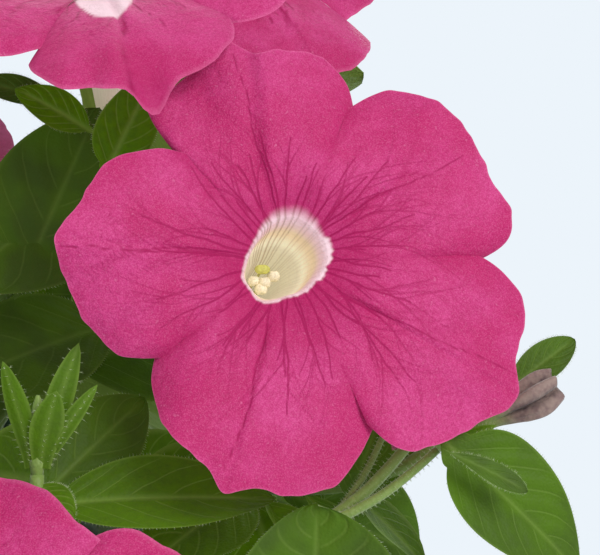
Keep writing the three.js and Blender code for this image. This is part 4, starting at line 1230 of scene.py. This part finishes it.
class PetuniaStageSettings(bpy.types.PropertyGroup):
    backdrop_colour: colour_property("Backdrop", "Colour behind the basket", (236, 244, 251))
    floor_colour: colour_property("Floor", "Colour of the floor", (226, 232, 238))
    floor_depth: bpy.props.FloatProperty(
        name="Floor depth", description="How far the floor lies under the hook",
        default=0.62, min=0.5, unit="LENGTH")
    key_power: bpy.props.FloatProperty(
        name="Main light", description="Power of the main soft light", default=20.0, min=0, unit="POWER")
    lens: bpy.props.FloatProperty(
        name="Lens", description="Focal length of the camera in millimetres", default=150.0, min=20)


# ---- Operators --------------------------------------------------------------------------------
class PETUNIA_OT_flowers(bpy.types.Operator):
    """Build the sixteen open flowers"""
    bl_idname = "petunia.flowers"
    bl_label = "Flowers"

    def execute(self, context):
        material = petal_material(context.scene.petunia_plant)
        for index, flower in enumerate(FLOWERS):
            fine = bool(flower.get("front"))
            number = f"{index + 1:02d}"
            work = make_corolla(flower, index, *(FRONT_MESH if fine else OTHER_MESH), fine)
            work.piece(f"flower_{number}", [material], [f"corolla_{number}"], "petal", merge=True)
        return {"FINISHED"}


class PETUNIA_OT_stamens(bpy.types.Operator):
    """Build the anthers and the stigma in each flower's throat"""
    bl_idname = "petunia.stamens"
    bl_label = "Stamens"

    def execute(self, context):
        material = anther_material(context.scene.petunia_plant)
        for index, flower in enumerate(FLOWERS):
            axis, right, up, _ = flower_frame({"axis": flower["axis"]})
            work = Patchwork("tone")
            for k, (back, a, b, size) in enumerate(ANTHERS):
                middle = flower["at"] - axis * back + right * a + up * b
                root = flower["at"] - axis * TUBE_LENGTH + right * a * 0.3 + up * b * 0.3
                rod(work, [root, mix(root, middle, 0.5), middle], [0.3, 0.28, 0.25], 6, tone=0.6)
                self.add_bead(work, middle, axis, right, up, size, k == len(ANTHERS) - 1)
            number = f"{index + 1:02d}"
            work.piece(f"stamen_cluster_{number}", [material], [f"stamens_{number}"], "stamen")
        return {"FINISHED"}

    @staticmethod
    def add_bead(work, middle, axis, right, up, size, is_stigma):
        p, t = ball(12, 18, 0.02)
        cleft = 1 - (0.1 if is_stigma else 0.3) * np.exp(-(np.cos(t) / 0.3) ** 2) * np.sin(p)
        flat, wide = (0.8, 1.5) if is_stigma else (1.0, 1.0)
        x, y, z = np.sin(p) * np.cos(t) * cleft * wide, np.sin(p) * np.sin(t) * cleft, np.cos(p) * flat
        points = middle + size * (x[..., None] * right + y[..., None] * up + z[..., None] * axis)
        work.grid(points[::-1], 0, closed=True, tone=1.0 if is_stigma else 0.0)


class PETUNIA_OT_shoots(bpy.types.Operator):
    """Build the shoots with their leaves, sepals and hairs"""
    bl_idname = "petunia.shoots"
    bl_label = "Shoots"

    def execute(self, context):
        plant = context.scene.petunia_plant
        materials = [leaf_material(plant), stem_material(plant), hair_material(plant)]
        for number, shoot in enumerate(SHOOTS):
            work = Patchwork("vein", "tone", "rim", "along", "side", "spacing")
            add_stem(work, shoot, 3000 + number)
            if shoot["sepals"]:
                add_calyx(work, shoot, 40 + number)
            elif shoot["name"] == "shoot_bud":
                add_bud(work, shoot)
            elif shoot["name"] == "shoot_faded":
                self.add_short_calyx(work, shoot)
            for k, (foot, tip, facing, width, tone) in enumerate(leaves_of(number, shoot)):
                near = k < len(shoot["given"])
                power = LEAF_POWER
                if (shoot["name"], k) in LEAF_LOOKS:
                    foot, tip, width, tone, power = LEAF_LOOKS[shoot["name"], k]
                points = add_leaf(work, foot, tip, facing, width, tone, number * 50 + k,
                                  72 if near else 30, 37 if near else 15, power)
                self.hair_margin(work, points, number * 50 + k, 240 if near else 24)
            for k, (name, foot, tip, width, tone, power) in enumerate(SMALL_LEAVES):
                if name == shoot["name"]:
                    points = add_leaf(work, foot, tip, SMALL_LEAF_FACING, width, tone,
                                      6000 + k, 60, 31, power)
                    self.hair_margin(work, points, 6000 + k, 120)
            if shoot["name"] == "shoot_faded":
                self.add_side_stems(work)
            add_young_leaves(work, number, shoot)
            work.piece(f"{shoot['name']}_grown", materials, [shoot["name"]], "leaf")
        return {"FINISHED"}

    @staticmethod
    def hair_margin(work, points, seed, count):
        rng = random.Random(seed)
        rows, columns = points.shape[:2]
        roots, ways = [], []
        for _ in range(count):
            k, edge = rng.randrange(rows // 8, rows - 1), rng.choice((0, columns - 1))
            inner = points[k, 1 if edge == 0 else columns - 2]
            way = points[k, edge] - inner
            if np.linalg.norm(way) > 1e-4:
                roots.append(points[k, edge])
                ways.append(unit(way))
        add_hairs(work, roots, ways, 0.55, seed)

    @staticmethod
    def add_side_stems(work):
        for k, (foot, tip, radius) in enumerate(SIDE_STEMS):
            t = np.linspace(0, 1, 24)[:, None]
            path = mix(foot, tip, t) + np.array((0, 0, -1.2)) * np.sin(np.pi * t)
            rod(work, path, np.linspace(radius, radius * 0.8, 24), 12, 1, tone=0.9)
            rings = rings_along(path, np.full(24, radius * 0.9), 12)
            rng = random.Random(8500 + k)
            picks = [(rng.randrange(24), rng.randrange(12)) for _ in range(600)]
            roots = [rings[i, j] for i, j in picks]
            ways = [rings[i, j] - path[i] for i, j in picks]
            add_hairs(work, roots, ways, 0.75, 8600 + k)

    @staticmethod
    def add_short_calyx(work, shoot):
        end, axis = shoot["curve"][3], shoot["axis"]
        add_knob(work, shoot, (1.25, 1.6, 2.4, 2.9, 3.0))
        across, other = square_to(axis)
        for k in range(5):
            turn = 2 * math.pi * k / 5 + 0.5
            away = across * math.cos(turn) + other * math.sin(turn)
            foot = end + axis * 2.2 + away * 2.7
            add_sepal(work, foot, foot + axis * 9 + away * 0.9, away, 2.6, 8100 + k)


class PETUNIA_OT_faded_flower(bpy.types.Operator):
    """Build the faded, twisted flower on its own shoot"""
    bl_idname = "petunia.faded_flower"
    bl_label = "Faded flower"

    def execute(self, context):
        shoot = next(s for s in SHOOTS if s["name"] == "shoot_faded")
        axis, right, up, _ = flower_frame({"axis": shoot["axis"]})
        base = shoot["curve"][3] + axis * (KNOB_LENGTH + GAP)
        ahead = np.linspace(0, FADED_LENGTH, 46)
        wide = through(ahead, *zip(*FADED_RADII))
        lift = through(ahead, (0, 6, 12, 18, 22), (0, 0, 0, 0.3, 0.8))
        turn = np.linspace(0, 2 * np.pi, 72, endpoint=False)
        work = Patchwork("vein", "throat")
        rings, folds = [], []
        for a, r, h in zip(ahead, wide, lift):
            deep = smooth((a - 5) / 7)
            fold = np.abs(np.sin(2.5 * turn + 0.5 + 0.03 * a)) ** 0.8
            ripple = 0.05 * np.sin(13 * turn + a * 0.3) + 0.03 * np.sin(22 * turn - 0.4 * a)
            radius = r * (1 - deep * (0.6 * (1 - fold) - ripple * 0.8))
            frayed = 0.3 * deep * np.sin(5 * turn + 1) * smooth((a - 16) / 6)
            rings.append(base + axis * (a + frayed)[:, None] + up * h
                         + radius[:, None] * (np.outer(np.cos(turn), right) + np.outer(np.sin(turn), up)))
            # Painted shade, darkest deep in each fold.
            folds.append(deep * np.minimum(1, 1.5 * (1 - fold)))
        inside = [mix(np.mean(rings[-1], 0), rings[-1], share) - axis * depth
                  for share, depth in ((0.6, 1.2), (0.15, 2.6))]
        rings += inside
        # Painted shade inside the mouth.
        folds += [np.ones(72), np.ones(72)]
        green = np.concatenate((1 - smooth((ahead - 6) / 6), (0, 0)))[:, None] * np.ones((1, 72))
        work.grid(np.array(rings), 0, closed=True, vein=np.array(folds), throat=0.85 * green)
        material = faded_material(context.scene.petunia_plant)
        work.piece("faded_flower", [material], ["corolla_faded"], "faded_petal")
        return {"FINISHED"}


class PETUNIA_OT_soil(bpy.types.Operator):
    """Build the potting soil with its crumbs and grit"""
    bl_idname = "petunia.soil"
    bl_label = "Soil"

    def execute(self, context):
        basket = context.scene.petunia_basket
        floor = -POT_HEIGHT + POT_WALL + GAP

        def inside(z):
            return mix(POT_MOUTH, POT_BASE, z / (-POT_HEIGHT + POT_WALL)) - POT_WALL - GAP

        rng = np.random.default_rng(12)
        turn = np.linspace(0, 2 * np.pi, 180, endpoint=False)
        radius = np.linspace(0.5, inside(SOIL_TOP), 62)
        r, a = np.meshgrid(radius, turn, indexing="ij")
        lumps = np.zeros_like(r)
        for _ in range(60):
            size = rng.uniform(0.12, 1.1)
            way = rng.uniform(0, 2 * np.pi)
            phase = rng.uniform(0, 2 * np.pi)
            ahead = r * np.cos(a) * np.cos(way) + r * np.sin(a) * np.sin(way)
            lumps += 0.13 / size ** 0.4 * np.sin(size * ahead + phase)
        crown = SOIL_TOP + 3 * (1 - (radius / radius[-1]) ** 2)[:, None]
        lumps = np.clip(lumps, -1.6, 1.6) * smooth((radius[-1] - r) / 3 + 0.2)
        top = np.stack((r * np.cos(a), r * np.sin(a), crown + lumps), -1)
        below = [(inside(z), z) for z in (-20, -60, -100, floor)] + [(1, floor)]
        below = [[(reach * math.cos(t), reach * math.sin(t), z) for t in turn] for reach, z in below]
        work = Patchwork()
        work.grid(np.concatenate((top, below))[::-1], 0, closed=True)
        for k in range(CRUMBS):
            reach, way = 78 * math.sqrt(rng.random()), rng.uniform(0, 2 * np.pi)
            size = rng.uniform(0.6, 1.9)
            height = SOIL_TOP + 3 * (1 - (reach / 82) ** 2) + 0.3 * size
            spot = np.array((reach * math.cos(way), reach * math.sin(way), height))
            self.add_crumb(work, spot, size, rng, 1 if k % 3 == 0 else 0)
        work.piece("potting_soil", [soil_material(basket), grit_material(basket)], ["soil"], "soil")
        return {"FINISHED"}

    @staticmethod
    def add_crumb(work, spot, size, rng, number):
        p, t = ball(6, 8, 0.1)
        rough = size * (1 + 0.28 * rng.standard_normal(p.shape))
        stretch = rng.uniform(0.6, 1.2, 3)
        sphere = np.stack((np.sin(p) * np.cos(t), np.sin(p) * np.sin(t), np.cos(p)), -1)
        points = sphere * rough[..., None] * stretch
        work.grid((spot + points)[::-1], number, closed=True)


def rounded(profile, radius, steps=5):
    """The profile with each inner corner rounded by short arcs."""
    points = [profile[0]]
    for before, here, after in zip(profile, profile[1:], profile[2:]):
        before, here, after = (np.array(p, float) for p in (before, here, after))
        cut = min(radius, 0.45 * np.linalg.norm(before - here), 0.45 * np.linalg.norm(after - here))
        a, b = here + unit(before - here) * cut, here + unit(after - here) * cut
        for t in np.linspace(0, 1, steps):
            points.append(tuple((1 - t) ** 2 * a + 2 * t * (1 - t) * here + t * t * b))
    return points + [profile[-1]]


class PETUNIA_OT_pot(bpy.types.Operator):
    """Build the plastic pot with its flanged rim and drain holes"""
    bl_idname = "petunia.pot"
    bl_label = "Pot"

    def execute(self, context):
        floor = -POT_HEIGHT + POT_WALL
        wall = [(POT_BASE, -POT_HEIGHT + 4)]
        for z in (-96, -92, -88, -40, -36, -32):
            share = (z + POT_HEIGHT - 4) / (POT_HEIGHT - 4 - POT_FLANGE)
            groove = 0.7 if z in (-92, -36) else 0
            wall.append((mix(POT_BASE, POT_MOUTH, share) - groove, z))
        foot = [(0.5, -POT_HEIGHT + 1.5), (46, -POT_HEIGHT + 1.5), (48, -POT_HEIGHT),
                (POT_BASE - 4, -POT_HEIGHT)]
        rim = [(POT_MOUTH, -POT_FLANGE), (POT_RIM - POT_WALL, -POT_FLANGE),
               (POT_RIM - POT_WALL, -POT_SKIRT), (POT_RIM, -POT_SKIRT), (POT_RIM, 0)]
        inner = [(POT_MOUTH - POT_WALL, 0), (POT_BASE - POT_WALL, floor), (0.5, floor)]
        outline = foot + wall + rim + inner
        work = Patchwork()
        turned(work, rounded(outline, 1.3), 144)
        cap = Patchwork()
        for azimuth in ARM_AZIMUTHS:
            x, y = ARM_REACH * math.cos(math.radians(azimuth)), ARM_REACH * math.sin(math.radians(azimuth))
            rod(cap, [(x, y, -POT_FLANGE - 2), (x, y, 2)], [ARM_HOLE, ARM_HOLE], 24)
        for k in range(DRAIN_COUNT):
            turn = 2 * math.pi * k / DRAIN_COUNT
            x, y = DRAIN_RING * math.cos(turn), DRAIN_RING * math.sin(turn)
            rod(cap, [(x, y, -POT_HEIGHT - 2), (x, y, floor + 2)], [DRAIN_RADIUS, DRAIN_RADIUS], 24)
        material = plastic_material(context.scene.petunia_basket)
        pot = work.piece("plastic_pot", [material], ["pot"], "pot")
        cutter = cap.piece("pot_holes", [material], [], "pot")
        cut = pot.modifiers.new("Holes", "BOOLEAN")
        cut.operation, cut.object, cut.solver = "DIFFERENCE", cutter, "EXACT"
        graph = context.evaluated_depsgraph_get()
        pot.data = bpy.data.meshes.new_from_object(pot.evaluated_get(graph))
        pot.modifiers.clear()
        bpy.data.objects.remove(cutter)
        return {"FINISHED"}


class PETUNIA_OT_hanger(bpy.types.Operator):
    """Build the three hanger arms and the hook"""
    bl_idname = "petunia.hanger"
    bl_label = "Hanger"

    def execute(self, context):
        material = plastic_material(context.scene.petunia_basket)
        for k, azimuth in enumerate(ARM_AZIMUTHS):
            out = np.array((math.cos(math.radians(azimuth)), math.sin(math.radians(azimuth)), 0))
            top = out * ARM_TOP_REACH + (0, 0, HUB_BOTTOM - GAP - 0.5)
            rim = out * ARM_REACH + (0, 0, -POT_FLANGE / 2)
            down = unit(rim - top)
            knob = rim + down * 4.9
            length = np.linalg.norm(knob - top)
            t = np.concatenate((np.linspace(0, 12, 9), np.linspace(14, length - 10, 20),
                                (length - 4, length - 2, length)))
            radii = [ARM_RADIUS * (1 + 0.35 * math.exp(-((length - 5 - x) / 3) ** 2)) for x in t]
            work = Patchwork()
            rod(work, [knob - down * x for x in t], radii, 14)
            polar = np.linspace(0.02, np.pi - 0.02, 14)
            rod(work, [knob + down * ARM_KNOB * math.cos(p) for p in polar],
                [ARM_KNOB * math.sin(p) for p in polar], 20)
            work.piece(f"arm_{k + 1}", [material], [f"hanger_arm_{k + 1}"], "hanger")
        work = Patchwork()
        inside = CROOK_RADIUS + CROOK_WIRE
        centre = -CROOK_RADIUS + HANGER_DROP
        top = HUB_BOTTOM + HUB_HEIGHT
        corners = [(0, 0, top - 6), (0, 0, top + 2), (0, 0, top + 8), (4.5, 0, top + 18),
                   (11.5, 0, centre - 11)]
        for turn in range(0, CROOK_END + 1, 5):
            a = math.radians(turn)
            corners.append((inside * math.cos(a), 0, centre + inside * math.sin(a)))
        corners = np.array(corners, float)
        spaced = np.concatenate(([0], np.cumsum(np.linalg.norm(np.diff(corners, axis=0), axis=1))))
        at = np.linspace(0, spaced[-1], 90)
        path = np.column_stack([through(at, spaced, corners[:, k]) for k in range(3)])
        radii = np.full(90, float(CROOK_WIRE))
        radii[-4:] = CROOK_WIRE * np.array((0.97, 0.86, 0.62, 0.3))
        rod(work, path, radii, 18)
        plate = [(0.3, HUB_BOTTOM), (HUB_RADIUS, HUB_BOTTOM), (HUB_RADIUS, HUB_BOTTOM + 3),
                 (7, HUB_BOTTOM + 6), (5, HUB_BOTTOM + HUB_HEIGHT), (0.3, HUB_BOTTOM + HUB_HEIGHT)]
        turned(work, rounded(plate, 0.8), 64)
        work.piece("hub_and_hook", [material], ["hook"], "hanger")
        return {"FINISHED"}


class PETUNIA_OT_stage(bpy.types.Operator):
    """Set the floor, the soft light, the backdrop and the camera"""
    bl_idname = "petunia.stage"
    bl_label = "Stage"

    def execute(self, context):
        stage = context.scene.petunia_stage
        self.floor(context, stage)
        self.backdrop(context, stage)
        for name, place, size, share in LAMPS:
            self.lamp(context, name, place, size, stage.key_power * share)
        camera = bpy.data.cameras.new("Camera")
        camera.lens = stage.lens
        camera.sensor_width = 36
        camera.clip_start = 0.02
        camera.clip_end = 50
        eye = bpy.data.objects.new("Camera", camera)
        eye.location = (EYE[0], EYE[1], EYE[2] - HANGER_DROP / 1000)
        eye.rotation_euler = (math.radians(90), 0, 0)
        context.scene.collection.objects.link(eye)
        context.scene.camera = eye
        context.scene.view_settings.view_transform = "Standard"
        return {"FINISHED"}

    @staticmethod
    def floor(context, stage):
        turn = [2 * math.pi * k / 96 for k in range(96)]
        corners = [(2 * math.cos(a), 2 * math.sin(a), -stage.floor_depth) for a in turn]
        mesh = bpy.data.meshes.new("Floor")
        mesh.from_pydata(corners, [], [tuple(range(96))])
        material, nodes, shader = new_material("Floor", 0.9)
        cloud = nodes.noise(3, 2)
        colour = tuple(stage.floor_colour)
        darker = tuple(c * 0.97 for c in colour[:3]) + (1.0,)
        nodes.link(nodes.mixed(cloud, colour, darker), shader.inputs["Base Color"])
        mesh.materials.append(material)
        floor = bpy.data.objects.new("Floor", mesh)
        context.scene.collection.objects.link(floor)

    @staticmethod
    def backdrop(context, stage):
        world = bpy.data.worlds.new("Backdrop")
        world.use_nodes = True
        context.scene.world = world
        nodes = Nodes(world.node_tree)
        world.node_tree.nodes.clear()
        output = nodes.add("ShaderNodeOutputWorld")
        seen = nodes.add("ShaderNodeBackground")
        light = nodes.add("ShaderNodeBackground")
        seen.inputs[0].default_value = tuple(stage.backdrop_colour)
        light.inputs[0].default_value = (0.9, 0.95, 1.0, 1.0)
        light.inputs[1].default_value = 0.55
        both = nodes.add("ShaderNodeMixShader")
        nodes.link(nodes.add("ShaderNodeLightPath").outputs["Is Camera Ray"], both.inputs[0])
        nodes.link(light.outputs[0], both.inputs[1])
        nodes.link(seen.outputs[0], both.inputs[2])
        nodes.link(both.outputs[0], output.inputs[0])

    @staticmethod
    def lamp(context, name, place, size, power):
        light = bpy.data.lights.new(name, "AREA")
        light.size = size
        light.energy = power
        lamp = bpy.data.objects.new(name, light)
        lamp.location = place
        aim = np.array((0.08, 0.0, -0.32)) - place
        lamp.rotation_euler = (math.pi - math.acos(aim[2] / np.linalg.norm(aim)), 0,
                               math.atan2(aim[1], aim[0]) - math.pi / 2)
        context.scene.collection.objects.link(lamp)


OPERATORS = (PETUNIA_OT_stage, PETUNIA_OT_flowers, PETUNIA_OT_stamens, PETUNIA_OT_shoots,
             PETUNIA_OT_faded_flower, PETUNIA_OT_soil, PETUNIA_OT_pot, PETUNIA_OT_hanger)


class VIEW3D_PT_petunia(bpy.types.Panel):
    """Sizes, colours and pieces of the petunia basket"""
    bl_label = "Petunia basket"
    bl_space_type = "VIEW_3D"
    bl_region_type = "UI"
    bl_category = "Petunia"

    def draw(self, context):
        for group in (context.scene.petunia_plant, context.scene.petunia_basket, context.scene.petunia_stage):
            box = self.layout.box()
            for key in group.__annotations__:
                box.prop(group, key)
        for operator in OPERATORS:
            self.layout.operator(operator.bl_idname)


SETTINGS = (PetuniaPlantSettings, PetuniaBasketSettings, PetuniaStageSettings)
CLASSES = SETTINGS + OPERATORS + (VIEW3D_PT_petunia,)


def register():
    for cls in CLASSES:
        bpy.utils.register_class(cls)
    bpy.types.Scene.petunia_plant = bpy.props.PointerProperty(type=PetuniaPlantSettings)
    bpy.types.Scene.petunia_basket = bpy.props.PointerProperty(type=PetuniaBasketSettings)
    bpy.types.Scene.petunia_stage = bpy.props.PointerProperty(type=PetuniaStageSettings)


def unregister():
    del bpy.types.Scene.petunia_stage
    del bpy.types.Scene.petunia_basket
    del bpy.types.Scene.petunia_plant
    for cls in reversed(CLASSES):
        bpy.utils.unregister_class(cls)


def main():
    register()
    bpy.ops.petunia.stage()
    bpy.ops.petunia.flowers()
    bpy.ops.petunia.stamens()
    bpy.ops.petunia.shoots()
    bpy.ops.petunia.faded_flower()
    bpy.ops.petunia.soil()
    bpy.ops.petunia.pot()
    bpy.ops.petunia.hanger()


if __name__ == "__main__":
    main()
